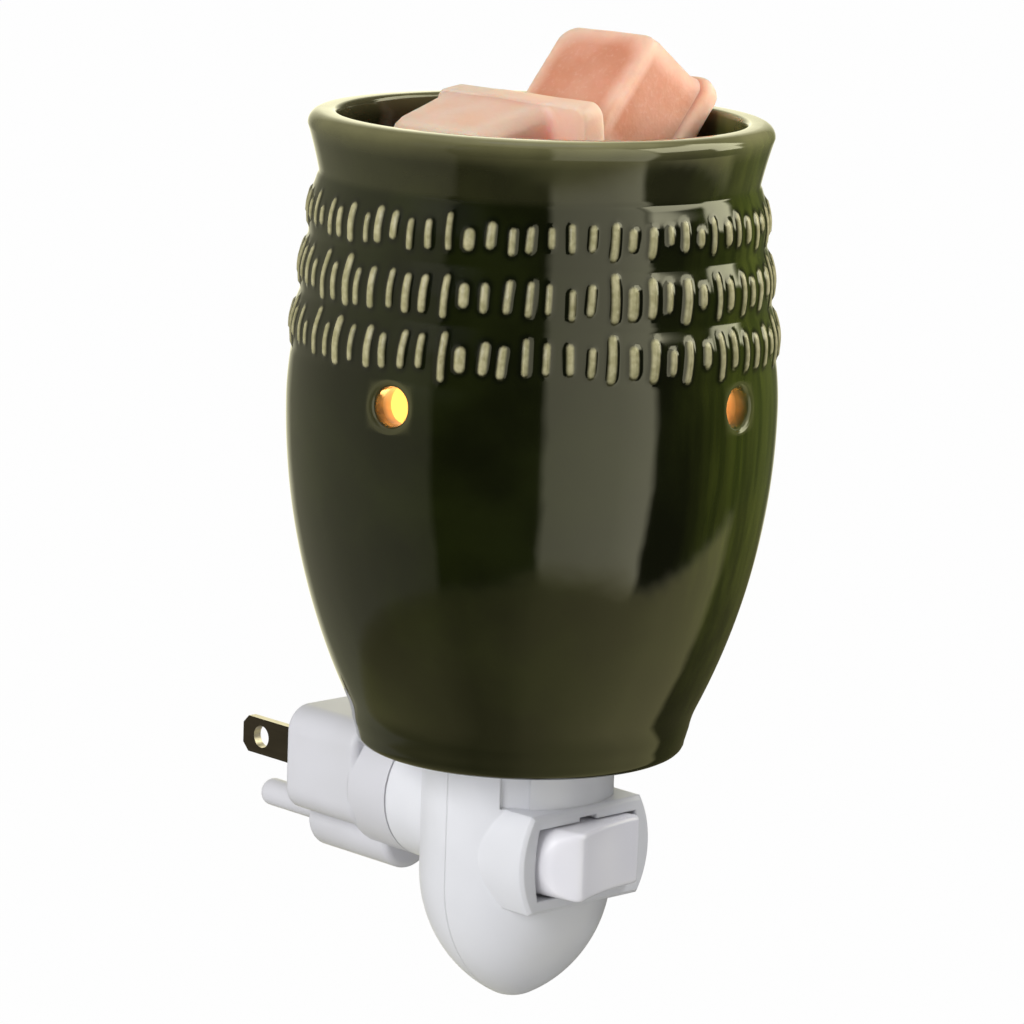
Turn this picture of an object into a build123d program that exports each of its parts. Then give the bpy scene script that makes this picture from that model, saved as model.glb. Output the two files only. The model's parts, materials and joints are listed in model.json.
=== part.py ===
from build123d import *
import os
from math import cos, hypot, radians, sin

# A plug-in wax melt warmer. The plug points along +Y into the wall, its face at Y = 0 and its axis
# on the Y axis. The lamp stands upright on its own axis in front of the wall. Millimetres.

# Where the warmer stands on its plug
plug_reach = 45.5           # wall face of the plug to the lamp's axis
foot_height = 12.5          # underside of the ceramic above the plug's axis

# Ceramic shade with its dish, drops measured down from the top of the rim
shade_height = 104.0
shade_wall = 4.5
shade_floor = 4.5
foot_radius = 28.2
foot_taper = 0.7            # narrower at the very bottom
foot_rise = 6.0
foot_round = 2.0
foot_blend = 9.0
belly_radius = 40.1
belly_drop = 47.0
band_count = 3
band_drop = 38.5            # groove under the lowest band
band_height = 9.3
band_low_radius = 39.7
band_high_radius = 36.2
band_bulge = 0.75
neck_radius = 35.7
neck_rise = 2.0             # narrowest place above the last band
rim_radius = 37.75
rim_round = 2.2
rim_width = 4.8
rim_inner_round = 1.0
dish_depth = 18.0
dish_floor_radius = 21.0
dish_thickness = 4.5
vent_count = 4
vent_radius = 3.15
vent_drop = 43.0
vent_turn = 12.0

# Ring cemented into the ceramic foot, which drops over the base
ring_bore_clearance = 0.3
ring_wall = 3.3
ring_flange_width = 4.2
ring_flange_thickness = 1.5
ring_lip_width = 4.2
ring_lip_thickness = 2.0
cement_gap = 0.1
seat_height = 6.0           # top of the base above the ceramic's underside
key_angle = 45.5
key_width = 4.7
key_depth = 0.9
key_clearance = 0.25

# Upright base, two shells that meet on the plane through the lamp's axis
base_radius = 16.0
base_wall = 2.0
ogive_top = -9.25           # height where the taper starts
ogive_depth = 21.6
tip_radius = 2.0
tip_round = 6.0
tip_wall = 2.4
deck_thickness = 2.0
ledge_drop = 2.3            # room under the deck for the socket's flange
ledge_thickness = 1.8
ledge_width = 3.4

# Screws that close the base, seen from behind
screw_spread = 6.5
screw_height = -16.5
screw_radius = 1.2
screw_hole_clearance = 0.05
screw_boss_radius = 3.2
screw_head_radius = 2.3
screw_head_height = 1.6
screw_head_set = 9.0        # seat of the head behind the lamp's axis
screw_reach = 7.0           # thread in front of the lamp's axis
screw_slot = 0.6

# Swivel between plug and base
neck_tube_radius = 11.5
neck_length = 20.0          # lamp's axis to the end of the neck
neck_inner_end = 12.3
spigot_radius = 8.5
spigot_end = 9.0            # lamp's axis to the end of the spigot
spigot_bore = 5.5
swivel_clearance = 0.08
swivel_gap = 0.3
clip_thickness = 1.0
clip_play = 0.2
clip_groove = 1.0
clip_radius = 9.6
clip_room = 0.3
clip_fit = 0.05
clip_opening = 9.0

# Plug head
collar_radius = 11.5
block_depth = 17.0
block_half_width = 11.2
block_top = 10.8
block_bottom = -7.5
block_round = 4.4
block_edge = 1.2
plug_wall = 1.7
face_thickness = 2.5
face_clearance = 0.08
pocket_floor = 3.0          # wall behind the pocket for the blade tails
boss_radius = 5.9
boss_back = 19.5            # pin boss, length from the wall face

# Blades and earth pin, to the usual three-pin pattern
blade_rise = 2.5            # blades above the plug's axis
blade_spacing = 12.7
blade_width = 6.35
blade_thickness = 1.52
blade_length = 16.6
blade_tip = 1.4
blade_hole = 3.9
blade_hole_reach = 11.8
blade_slot_clearance = 0.1
blade_tail_width = 8.6
blade_tail_end = 9.0
pocket_side = 4.0
pin_flat = 0.6
pin_drop = 11.86            # earth pin under the blades
pin_radius = 2.4
pin_length = 18.0

# Turning contacts at the end of the spigot
disc_thickness = 2.5
contact_thickness = 0.5
contact_centre_radius = 2.0
contact_ring_radius = 4.4
contact_ring_width = 1.6
stud_radius = 0.7
lead_radius = 0.7
lead_turn = 11.6
lead_bend = 2.0

# Switch, set in a boss on the front of the base
switch_height = -3.45
bezel_reach = 16.8          # lamp's axis to the bezel's face
bezel_half_width = 12.3
bezel_half_height = 8.3
bezel_bow = 2.4
bezel_edge = 0.6
bezel_rim = 1.4             # frame beside the opening
bezel_cap = 2.25            # frame above and under the opening
opening_bow = 1.3
opening_lip = 0.6           # the opening's sides bow less at the bezel's face
opening_lip_depth = 0.8
notch_width = 3.8
notch_depth = 0.7
notch_reach = 2.2
pivot_depth = 4.5           # pivot behind the bezel's face
pivot_radius = 1.2
pivot_clearance = 0.05
pivot_length = 1.6
pivot_end_gap = 0.15
shelf_half_width = 6.0
shelf_end = 3.2             # back of the shelves, from the lamp's axis
rocker_tilt = 12.0
rocker_gap = 0.3
rocker_half_length = 11.45
rocker_bow = 2.0
rocker_crest = 8.3
rocker_rise = 4.3
rocker_lip = 1.3            # shoulder behind the bezel's face
rocker_skirt = 3.6
rocker_dip = 0.9
rocker_hub = 1.5
rocker_hub_half = 3.0
rocker_edge = 0.9
plunger_radius = 1.05
plunger_clearance = 0.1
plunger_reach = 5.0         # pivot to the plunger's tip
plunger_length = 5.2
plunger_flat = 0.2
spring_room = 3.0
spring_coil_radius = 0.78
spring_wire_radius = 0.14
spring_turns = 4

# Switch contacts on their carrier
carrier_thickness = 1.8
carrier_half_width = 9.0
arm_pivot = 6.4             # contact arm's pivot in front of the lamp's axis
arm_half_length = 4.6
arm_thickness = 0.6
arm_half_height = 1.5
arm_tilt = 7.0
strip_thickness = 0.5
saddle_gap = 0.25
saddle_half_height = 1.3
lamp_terminal_place = 3.9
lamp_terminal_gap = 0.3
terminal_width = 0.8
terminal_tail = 1.7
wiper_gap = 0.3
wiper_width = 2.0
wiper_rest = 1.8            # length that lies along the contact
wiper_bend = 1.2
line_strip_turn = -1.0
neutral_foot_drop = 2.6
neutral_foot_lift = 0.6
neutral_foot_side = 3.0

# Lamp holder
holder_radius = 9.0
holder_foot = 3.5           # bottom of the holder under the ceramic's underside
holder_length = 32.0
holder_flange_radius = 12.9
holder_flange_thickness = 2.0
holder_fit = 0.15
holder_bore = 7.0
web_height = 9.0            # web above the holder's bottom
web_thickness = 2.0
sleeve_step = 3.5           # sleeve's seat above the web
step_bore = 5.4
sleeve_wall = 0.35
sleeve_fit = 0.1
sleeve_length = 15.0
sleeve_lip = 1.6
sleeve_lip_thickness = 0.5
leaf_half_length = 4.4
leaf_half_width = 1.5
leaf_thickness = 0.4
rivet_radius = 1.0
rivet_head_radius = 1.8
rivet_head_height = 0.6
wire_radius = 0.75
wire_bend = 2.2
wire_hole_clearance = 0.15
neutral_hole_place = 5.2
wire_back = 1.6
wire_turn_drop = 4.0
wire_turn_rise = 2.0
neutral_wire_turn = 2.0

# Candelabra lamp
cap_radius = 5.9
cap_fit = 0.08
cap_wall = 0.35
cap_length = 12.0
lamp_lift = 0.3             # tip contact over the leaf
tip_contact_radius = 1.7
tip_contact_height = 1.2
tip_contact_round = 0.6
insulator_height = 3.0
insulator_radius = 4.6
glass_set = 3.0             # glass sunk in the cap
glass_fit = 0.1
bulb_radius = 11.0
bulb_belly_rise = 17.0
bulb_length = 39.0
bulb_wall = 0.6
bulb_tip_radius = 1.2
stem_height = 11.0
stem_radius = 1.6
stem_collar = 3.0
stem_fit = 0.05
filament_radius = 0.2
filament_half_span = 5.0
filament_rise = 8.0
filament_bend = 1.2
filament_root = 0.8

# Wax melts, tapered cakes with a flange round the broad end
wax_taper = 1.7             # inset of each side at the small end
wax_height = 18.0
wax_flange = 4.5
wax_corner = 3.0
wax_edge = 0.9
wax_left_size = (25.2, 19.7)
wax_left_web = 7.3          # wider flange on the side where it was broken off
wax_left_lip = 0.6          # flange beyond the cake
wax_left_place = (-0.7, 5.1, 11.3)
wax_left_yaw = 2.4
wax_left_pitch = -7.8
wax_right_size = (23.2, 26.5)
wax_right_web = 0.0
wax_right_lip = 1.4
wax_right_place = (22.3, 3.4, 10.26)
wax_right_yaw = 7.9
wax_right_pitch = 44.6

os.makedirs("parts", exist_ok=True)


# Shared places

lamp_axis = Axis((0, -plug_reach, 0), (0, 0, 1))
lamp_section = Plane(origin=(0, -plug_reach, 0), x_dir=(1, 0, 0), z_dir=(0, -1, 0))
wall_plane = Plane.XZ
pin_height = blade_rise - pin_drop
foot_level = foot_height
seat_level = foot_height + seat_height
tip_level = ogive_top - ogive_depth
neck_end_depth = plug_reach - neck_length
neck_inner_depth = plug_reach - neck_inner_end
collar_back = neck_end_depth - swivel_gap
spigot_back = plug_reach - spigot_end
clip_front = neck_inner_depth + clip_play
pocket_back = block_depth - pocket_floor
opening_half_width = bezel_half_width - bezel_rim
opening_half_height = bezel_half_height - bezel_cap
rocker_half_height = opening_half_height - rocker_gap
pivot_level = bezel_reach - pivot_depth
pivot_plane = Plane(origin=(0, -plug_reach - pivot_level, switch_height))
holder_bottom = foot_level - holder_foot
web_bottom = holder_bottom + web_height
web_top = web_bottom + web_thickness
sleeve_seat = web_top + sleeve_step
sleeve_radius = cap_radius + cap_fit
leaf_top = web_top + leaf_thickness
lamp_bottom = leaf_top + lamp_lift


def lamp_plane(height):
    """Level plane with its origin on the lamp's axis."""
    return Plane(origin=(0, -plug_reach, height))


def front_plane(reach):
    """Upright plane in front of the lamp's axis, facing forward, level with the switch."""
    return Plane(origin=(0, -plug_reach - reach, switch_height), x_dir=(1, 0, 0), z_dir=(0, -1, 0))


def back_plane(depth):
    """Upright plane at a depth in front of the wall face, facing forward."""
    return wall_plane.offset(depth)


def tapering_arc(top, bottom):
    """Arc that leaves the top point straight down and curves in to the bottom point."""
    return TangentArc(top, bottom, tangent=(0, -1))


def finish(builder, label):
    """Label a finished piece and write it."""
    builder.part.label = label
    export_step(builder.part, f"parts/{label}.step")


# Ceramic shade: one casting, dish on top, lamp chamber below, four vents round the belly

shade_top = foot_level + shade_height
belly_level = shade_top - belly_drop
band_level = shade_top - band_drop
vent_level = shade_top - vent_drop
foot_corner = (foot_radius, foot_level + foot_rise)
foot_toe = foot_radius - foot_taper
rim_inner_radius = rim_radius - rim_width
rim_level = shade_top - rim_round
neck_level = band_level + band_count * band_height + neck_rise
dish_level = shade_top - dish_depth
dish_mouth_level = shade_top - rim_inner_round
ceiling_level = dish_level - dish_thickness
ceiling_radius = band_high_radius - shade_wall
floor_level = foot_level + shade_floor
ring_outer_radius = base_radius + ring_bore_clearance + ring_wall
foot_opening = ring_outer_radius + cement_gap
flange_radius = ring_outer_radius + ring_flange_width


def band_point(step):
    """Groove under band number step, on the line from the lowest groove to the highest."""
    share = step / band_count
    radius = band_low_radius + (band_high_radius - band_low_radius) * share
    return (radius, band_level + band_height * step)


with BuildPart() as ceramic_shade:
    with BuildSketch(lamp_section) as shade_profile:
        with BuildLine():
            Line((foot_opening, foot_level), (foot_toe, foot_level))
            Line((foot_toe, foot_level), foot_corner)
            tapering_arc((belly_radius, belly_level), foot_corner)
            TangentArc((belly_radius, belly_level), band_point(0), tangent=(0, 1))
            for step in range(band_count):
                SagittaArc(band_point(step), band_point(step + 1), -band_bulge)
            ThreePointArc(band_point(band_count), (neck_radius, neck_level), (rim_radius, rim_level))
            RadiusArc((rim_radius, rim_level), (rim_radius - rim_round, shade_top), -rim_round)
            Line((rim_radius - rim_round, shade_top), (rim_inner_radius + rim_inner_round, shade_top))
            RadiusArc(
                (rim_inner_radius + rim_inner_round, shade_top),
                (rim_inner_radius, dish_mouth_level),
                -rim_inner_round,
            )
            EllipticalCenterArc(
                (dish_floor_radius, dish_mouth_level),
                rim_inner_radius - dish_floor_radius,
                dish_mouth_level - dish_level,
                start_angle=270,
                arc_size=90,
            )
            Line((dish_floor_radius, dish_level), (0, dish_level))
            Line((0, dish_level), (0, ceiling_level))
            Line((0, ceiling_level), (ceiling_radius, ceiling_level))
            Line((ceiling_radius, ceiling_level), (belly_radius - shade_wall, belly_level))
            tapering_arc((belly_radius - shade_wall, belly_level), (foot_radius - shade_wall, floor_level))
            Line((foot_radius - shade_wall, floor_level), (foot_opening, floor_level))
            Line((foot_opening, floor_level), (foot_opening, foot_level))
        make_face()
        fillet(shade_profile.vertices().sort_by_distance(foot_corner)[:1], foot_blend)
        fillet(shade_profile.vertices().sort_by_distance((foot_toe, foot_level))[:1], foot_round)
    revolve(axis=lamp_axis)
    with BuildSketch(lamp_plane(foot_level)):
        Circle(flange_radius + cement_gap)
    extrude(amount=ring_flange_thickness, mode=Mode.SUBTRACT)
    for turn in range(vent_count):
        vent_axis = Plane(
            origin=(0, -plug_reach, vent_level), x_dir=(0, 0, 1), z_dir=(0, -1, 0)
        ).rotated((0, 0, vent_turn + turn * 360 / vent_count))
        with BuildSketch(vent_axis):
            Circle(vent_radius)
        extrude(amount=belly_radius + band_bulge, mode=Mode.SUBTRACT)
finish(ceramic_shade, "ceramic_shade")


# Ring cemented into the foot: its lip sits on the base and its keys slide in the base's grooves

with BuildPart() as shade_ring:
    ring_bore = base_radius + ring_bore_clearance
    with BuildSketch(lamp_section):
        with BuildLine():
            Polyline(
                (ring_bore, foot_level),
                (flange_radius, foot_level),
                (flange_radius, foot_level + ring_flange_thickness),
                (ring_outer_radius, foot_level + ring_flange_thickness),
                (ring_outer_radius, seat_level + ring_lip_thickness),
                (ring_bore - ring_lip_width, seat_level + ring_lip_thickness),
                (ring_bore - ring_lip_width, seat_level),
                (ring_bore, seat_level),
                close=True,
            )
        make_face()
    revolve(axis=lamp_axis)
    for side in (-1, 1):
        key_plane = lamp_plane(foot_level).rotated((0, 0, side * key_angle))
        with BuildSketch(key_plane):
            with Locations((0, -ring_bore)):
                key_length = 2 * (key_depth + ring_bore_clearance - key_clearance)
                Rectangle(key_width - 2 * key_clearance, key_length)
        extrude(amount=seat_height)
finish(shade_ring, "shade_ring")


# Base shells: an upright tube that tapers to a rounded tip, closed by a deck under the ceramic

deck_level = seat_level - deck_thickness
ledge_level = deck_level - ledge_drop
inner_radius = base_radius - base_wall


def base_outside():
    """Outer form of both shells."""
    with BuildSketch(lamp_section) as outline:
        with BuildLine():
            Line((0, seat_level), (base_radius, seat_level))
            Line((base_radius, seat_level), (base_radius, ogive_top))
            tapering_arc((base_radius, ogive_top), (tip_radius, tip_level))
            Line((tip_radius, tip_level), (0, tip_level))
            Line((0, tip_level), (0, seat_level))
        make_face()
        fillet(outline.vertices().sort_by_distance((tip_radius, tip_level))[:1], tip_round)
    revolve(outline.sketch, axis=lamp_axis)


def base_cavity():
    """Room inside both shells, the opening for the lamp holder and the ledge under its flange."""
    with BuildSketch(lamp_section) as room:
        with BuildLine():
            Line((0, deck_level), (inner_radius, deck_level))
            Line((inner_radius, deck_level), (inner_radius, ogive_top))
            tapering_arc((inner_radius, ogive_top), (0, tip_level + tip_wall))
            Line((0, tip_level + tip_wall), (0, deck_level))
        make_face()
    revolve(room.sketch, axis=lamp_axis, mode=Mode.SUBTRACT)
    with BuildSketch(lamp_plane(deck_level)) as opening:
        Circle(holder_radius + holder_fit)
    extrude(opening.sketch, amount=deck_thickness, mode=Mode.SUBTRACT)
    with BuildSketch(lamp_plane(ledge_level - ledge_thickness)) as ledge:
        Circle(base_radius - base_wall / 2)
        Circle(inner_radius - ledge_width, mode=Mode.SUBTRACT)
    extrude(ledge.sketch, amount=ledge_thickness)


def screw_circles(depth, radius):
    """Circles at the two closing screws, on an upright plane at a depth in front of the wall face."""
    with BuildSketch(back_plane(depth)) as circles:
        with Locations((-screw_spread, screw_height), (screw_spread, screw_height)):
            Circle(radius)
    return circles.sketch


def disc(depth, radius):
    """Circle round the plug's axis, on an upright plane at a depth in front of the wall face."""
    with BuildSketch(back_plane(depth)) as circle:
        Circle(radius)
    return circle.sketch


def barrel(place, half_width, half_height, bow):
    """Face with level top and bottom edges and bowed upright sides."""
    with BuildSketch(place) as face:
        with BuildLine():
            Line((-half_width, -half_height), (half_width, -half_height))
            SagittaArc((half_width, -half_height), (half_width, half_height), -bow)
            Line((half_width, half_height), (-half_width, half_height))
            SagittaArc((-half_width, half_height), (-half_width, -half_height), -bow)
        make_face()
    return face.sketch


with BuildPart() as base_back:
    base_outside()
    extrude(disc(neck_end_depth, neck_tube_radius), amount=neck_length)
    base_cavity()
    extrude(disc(neck_end_depth, neck_tube_radius), amount=neck_length - neck_inner_end)
    extrude(disc(neck_inner_depth, clip_radius + clip_room), amount=neck_inner_end, mode=Mode.SUBTRACT)
    extrude(disc(neck_end_depth, spigot_radius + swivel_clearance), amount=neck_length, mode=Mode.SUBTRACT)
    extrude(screw_circles(plug_reach, screw_boss_radius), amount=-screw_head_set - base_wall)
    screw_hole = screw_circles(plug_reach, screw_radius + screw_hole_clearance)
    extrude(screw_hole, amount=-base_radius, mode=Mode.SUBTRACT)
    head_hole = screw_circles(plug_reach - screw_head_set, screw_head_radius + screw_hole_clearance)
    extrude(head_hole, amount=-base_radius, mode=Mode.SUBTRACT)
    split(bisect_by=back_plane(plug_reach), keep=Keep.BOTTOM)
finish(base_back, "base_back_shell")


with BuildPart() as base_front:
    base_outside()
    bezel_face = front_plane(bezel_reach)
    extrude(barrel(bezel_face, bezel_half_width, bezel_half_height, bezel_bow), amount=-bezel_reach)
    chamfer(base_front.faces().sort_by(Axis.Y)[0].edges(), bezel_edge)
    base_cavity()
    for side in (-1, 1):
        with BuildSketch(front_plane(shelf_end)):
            with Locations((0, side * (opening_half_height + bezel_cap / 2))):
                Rectangle(2 * shelf_half_width, bezel_cap)
        extrude(amount=bezel_reach - shelf_end - base_wall)
    opening = barrel(
        front_plane(bezel_reach - opening_lip_depth), opening_half_width, opening_half_height, opening_bow
    )
    extrude(opening, amount=shelf_end + opening_lip_depth - bezel_reach, mode=Mode.SUBTRACT)
    mouth = barrel(bezel_face, opening_half_width, opening_half_height, opening_bow - opening_lip)
    extrude(mouth, amount=-opening_lip_depth, mode=Mode.SUBTRACT)
    with BuildSketch(bezel_face):
        with Locations((0, opening_half_height)):
            Rectangle(notch_width, 2 * notch_depth)
    extrude(amount=-notch_reach, mode=Mode.SUBTRACT)
    with BuildSketch(pivot_plane):
        Circle(pivot_radius + pivot_clearance)
    extrude(amount=rocker_half_height + pivot_length + pivot_end_gap, both=True, mode=Mode.SUBTRACT)
    for side in (-1, 1):
        with BuildSketch(lamp_plane(switch_height + bezel_half_height).rotated((0, 0, side * key_angle))):
            with Locations((0, -base_radius)):
                Rectangle(key_width, 2 * key_depth)
        extrude(amount=seat_level - switch_height - bezel_half_height, mode=Mode.SUBTRACT)
    extrude(screw_circles(plug_reach, screw_boss_radius), amount=screw_reach + base_wall)
    screw_hole = screw_circles(plug_reach, screw_radius + screw_hole_clearance)
    extrude(screw_hole, amount=screw_reach + screw_hole_clearance, mode=Mode.SUBTRACT)
    split(bisect_by=back_plane(plug_reach), keep=Keep.TOP)
finish(base_front, "base_front_shell")


# Two slotted screws close the base from behind

with BuildPart() as base_screws:
    extrude(screw_circles(plug_reach - screw_head_set, screw_radius), amount=screw_head_set + screw_reach)
    extrude(screw_circles(plug_reach - screw_head_set, screw_head_radius), amount=-screw_head_height)
    with BuildSketch(back_plane(plug_reach - screw_head_set - screw_head_height)):
        with Locations((-screw_spread, screw_height), (screw_spread, screw_height)):
            Rectangle(screw_slot, 2 * screw_head_radius)
    extrude(amount=screw_head_height / 2, mode=Mode.SUBTRACT)
finish(base_screws, "base_screws")


# Plug housing: block with a round boss behind the earth pin, collar and hollow spigot of the swivel

block_height = block_top - block_bottom
block_middle = (block_top + block_bottom) / 2


def plug_outline(inset):
    """Outline of the plug seen from the wall, block and pin boss together, moved in by an inset."""
    with BuildSketch(back_plane(0)) as outline:
        with Locations((0, block_middle)):
            RectangleRounded(
                2 * (block_half_width - inset), block_height - 2 * inset, block_round - inset
            )
        with Locations((0, pin_height)):
            Circle(boss_radius - inset)
    return outline.sketch


with BuildPart() as plug_body:
    with BuildSketch(back_plane(0)):
        with Locations((0, block_middle)):
            RectangleRounded(2 * block_half_width, block_height, block_round)
    extrude(amount=block_depth)
    fillet(plug_body.faces().sort_by(Axis.Y)[0].edges(), block_edge)
    with BuildSketch(back_plane(0)):
        with Locations((0, pin_height)):
            Circle(boss_radius)
    extrude(amount=boss_back)
    fillet(plug_body.faces().sort_by(Axis.Y)[0].edges(), block_edge)
    extrude(disc(block_depth - block_edge, collar_radius), amount=collar_back - block_depth + block_edge)
    extrude(disc(collar_back, spigot_radius), amount=spigot_back - collar_back)
    extrude(plug_outline(plug_wall), amount=face_thickness, mode=Mode.SUBTRACT)
    with BuildSketch(back_plane(face_thickness)):
        with Locations((0, block_middle)):
            Rectangle(2 * (block_half_width - block_round), block_height - 2 * block_round)
            Rectangle(blade_spacing + pocket_side, blade_tail_width + pocket_side)
    extrude(amount=pocket_back - face_thickness, mode=Mode.SUBTRACT)
    extrude(disc(pocket_back, spigot_bore), amount=spigot_back - pocket_back, mode=Mode.SUBTRACT)
    with BuildSketch(back_plane(clip_front)):
        Circle(spigot_radius + clip_room)
        Circle(spigot_radius - clip_groove, mode=Mode.SUBTRACT)
    extrude(amount=clip_thickness, mode=Mode.SUBTRACT)
finish(plug_body, "plug_body")


# Face plate let into the housing, with the slots for the blades and the moulded earth pin

with BuildPart() as plug_face:
    extrude(plug_outline(plug_wall + face_clearance), amount=face_thickness)
    with BuildSketch(back_plane(0)):
        with Locations((-blade_spacing / 2, blade_rise), (blade_spacing / 2, blade_rise)):
            Rectangle(blade_thickness + blade_slot_clearance, blade_width + blade_slot_clearance)
    extrude(amount=face_thickness, mode=Mode.SUBTRACT)
    with BuildSketch(back_plane(0)):
        with Locations((0, pin_height)):
            Circle(pin_radius)
    extrude(amount=-pin_length)
    fillet(plug_face.faces().sort_by(Axis.Y)[-1].edges(), pin_radius - pin_flat)
finish(plug_face, "plug_face")


# Blades: a flat blade with a pierced, pointed end, and a wider tail that rests behind the face plate

def blade(side):
    """One blade on its side of the plug."""
    with BuildSketch(Plane.YZ.offset(side * blade_spacing / 2)) as outline:
        with BuildLine():
            Polyline(
                (-face_thickness, blade_rise - blade_width / 2),
                (blade_length - blade_tip, blade_rise - blade_width / 2),
                (blade_length, blade_rise - blade_width / 2 + blade_tip),
                (blade_length, blade_rise + blade_width / 2 - blade_tip),
                (blade_length - blade_tip, blade_rise + blade_width / 2),
                (-face_thickness, blade_rise + blade_width / 2),
                (-face_thickness, blade_rise + blade_tail_width / 2),
                (-blade_tail_end, blade_rise + blade_tail_width / 2),
                (-blade_tail_end, blade_rise - blade_tail_width / 2),
                (-face_thickness, blade_rise - blade_tail_width / 2),
                close=True,
            )
        make_face()
        with Locations((blade_hole_reach, blade_rise)):
            Circle(blade_hole / 2, mode=Mode.SUBTRACT)
    extrude(outline.sketch, amount=blade_thickness / 2, both=True)


with BuildPart() as blade_line:
    blade(-1)
finish(blade_line, "blade_line")

with BuildPart() as blade_neutral:
    blade(1)
finish(blade_neutral, "blade_neutral")


# Turning contacts: a disc in the end of the spigot carries a centre contact and a ring

with BuildPart() as contact_disc:
    extrude(disc(spigot_back, spigot_bore), amount=-disc_thickness)
    with BuildSketch(back_plane(spigot_back)):
        with Locations((0, 0), (contact_ring_radius, 0)):
            Circle(stud_radius)
    extrude(amount=-disc_thickness, mode=Mode.SUBTRACT)
finish(contact_disc, "contact_disc")

with BuildPart() as ring_centre:
    extrude(disc(spigot_back, contact_centre_radius), amount=contact_thickness)
    extrude(disc(spigot_back, stud_radius), amount=-disc_thickness)
finish(ring_centre, "ring_centre")

with BuildPart() as ring_outer:
    with BuildSketch(back_plane(spigot_back)):
        Circle(contact_ring_radius + contact_ring_width / 2)
        Circle(contact_ring_radius - contact_ring_width / 2, mode=Mode.SUBTRACT)
    extrude(amount=contact_thickness)
    with BuildSketch(back_plane(spigot_back)):
        with Locations((contact_ring_radius, 0)):
            Circle(stud_radius)
    extrude(amount=-disc_thickness)
finish(ring_outer, "ring_outer")


# Leads from the blade tails to the contacts

def round_wire(points, radius, bend):
    """Round wire of even thickness through a row of points, bent at each inner one."""
    with BuildLine() as path:
        FilletPolyline(*points, radius=bend)
    with BuildSketch(Plane(path.line @ 0, z_dir=path.line % 0)) as section:
        Circle(radius)
    sweep(section.sketch, path=path.line)


def lead_points(side, stud_place):
    """Points of a lead from one blade's tail to a stud of the contact disc."""
    return (
        (side * blade_spacing / 2, -blade_tail_end, blade_rise),
        (side * blade_spacing / 2, -lead_turn, blade_rise),
        (stud_place, -pocket_back, 0),
        (stud_place, disc_thickness - spigot_back, 0),
    )


with BuildPart() as plug_lead_line:
    round_wire(lead_points(-1, 0), lead_radius, lead_bend)
finish(plug_lead_line, "plug_lead_line")

with BuildPart() as plug_lead_neutral:
    round_wire(lead_points(1, contact_ring_radius), lead_radius, lead_bend)
finish(plug_lead_neutral, "plug_lead_neutral")


# Clip in the spigot's groove, open below so that it can be pushed on

with BuildPart() as swivel_clip:
    with BuildSketch(back_plane(clip_front)):
        Circle(clip_radius)
        Circle(spigot_radius - clip_groove + clip_fit, mode=Mode.SUBTRACT)
        with Locations((0, -clip_radius)):
            Rectangle(clip_opening, 2 * clip_radius, mode=Mode.SUBTRACT)
    extrude(amount=clip_thickness)
finish(swivel_clip, "swivel_clip")


# Switch rocker, shown switched on with its right end pressed in

def turned(reach, tilt, height):
    """Level plane on the switch's middle line, turned about the vertical by a tilt."""
    return Plane(
        origin=(0, -plug_reach - reach, height),
        x_dir=(cos(radians(tilt)), sin(radians(tilt)), 0),
        z_dir=(0, 0, 1),
    )


rocker_place = turned(pivot_level, rocker_tilt, switch_height)
rocker_inward = Plane(origin=rocker_place.origin, x_dir=(0, 0, 1), z_dir=rocker_place.y_dir)
rocker_outward = Plane(origin=rocker_place.origin, x_dir=rocker_place.x_dir, z_dir=-rocker_place.y_dir)
rocker_top = -pivot_depth - rocker_rise
rocker_shoulder = rocker_lip - pivot_depth
rocker_bottom = rocker_skirt - pivot_depth
bore_bottom = plunger_reach - plunger_length - spring_room

with BuildPart() as switch_rocker:
    with BuildSketch(rocker_place) as rocker_profile:
        with BuildLine():
            Line((-rocker_half_length, rocker_bottom), (-rocker_half_length, rocker_shoulder))
            Line((-rocker_half_length, rocker_shoulder), (-rocker_crest, rocker_top))
            SagittaArc((-rocker_crest, rocker_top), (rocker_crest, rocker_top), rocker_dip)
            Line((rocker_crest, rocker_top), (rocker_half_length, rocker_shoulder))
            Line((rocker_half_length, rocker_shoulder), (rocker_half_length, rocker_bottom))
            Line((rocker_half_length, rocker_bottom), (rocker_hub_half, rocker_hub))
            Line((rocker_hub_half, rocker_hub), (-rocker_hub_half, rocker_hub))
            Line((-rocker_hub_half, rocker_hub), (-rocker_half_length, rocker_bottom))
        make_face()
        for side in (-1, 1):
            crest_point = (side * rocker_crest, rocker_top)
            fillet(rocker_profile.vertices().sort_by_distance(crest_point)[:1], rocker_edge)
    extrude(amount=rocker_half_height, both=True)
    rocker_outline = barrel(
        rocker_outward, rocker_half_length - rocker_bow, rocker_half_height, rocker_bow
    )
    extrude(rocker_outline, amount=bezel_reach, both=True, mode=Mode.INTERSECT)
    with BuildSketch(rocker_place):
        Circle(pivot_radius)
    extrude(amount=rocker_half_height + pivot_length, both=True)
    with BuildSketch(rocker_inward.offset(bore_bottom)):
        Circle(plunger_radius + plunger_clearance)
    extrude(amount=rocker_hub - bore_bottom, mode=Mode.SUBTRACT)
finish(switch_rocker, "switch_rocker")

with BuildPart() as rocker_plunger:
    with BuildSketch(rocker_inward.offset(plunger_reach - plunger_length)):
        Circle(plunger_radius)
    extrude(amount=plunger_length)
    fillet(rocker_plunger.faces().sort_by(Axis.Y)[-1].edges(), plunger_radius - plunger_flat)
finish(rocker_plunger, "rocker_plunger")

spring_start = bore_bottom + spring_wire_radius
spring_pitch = (spring_room - 2 * spring_wire_radius) / spring_turns

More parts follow.
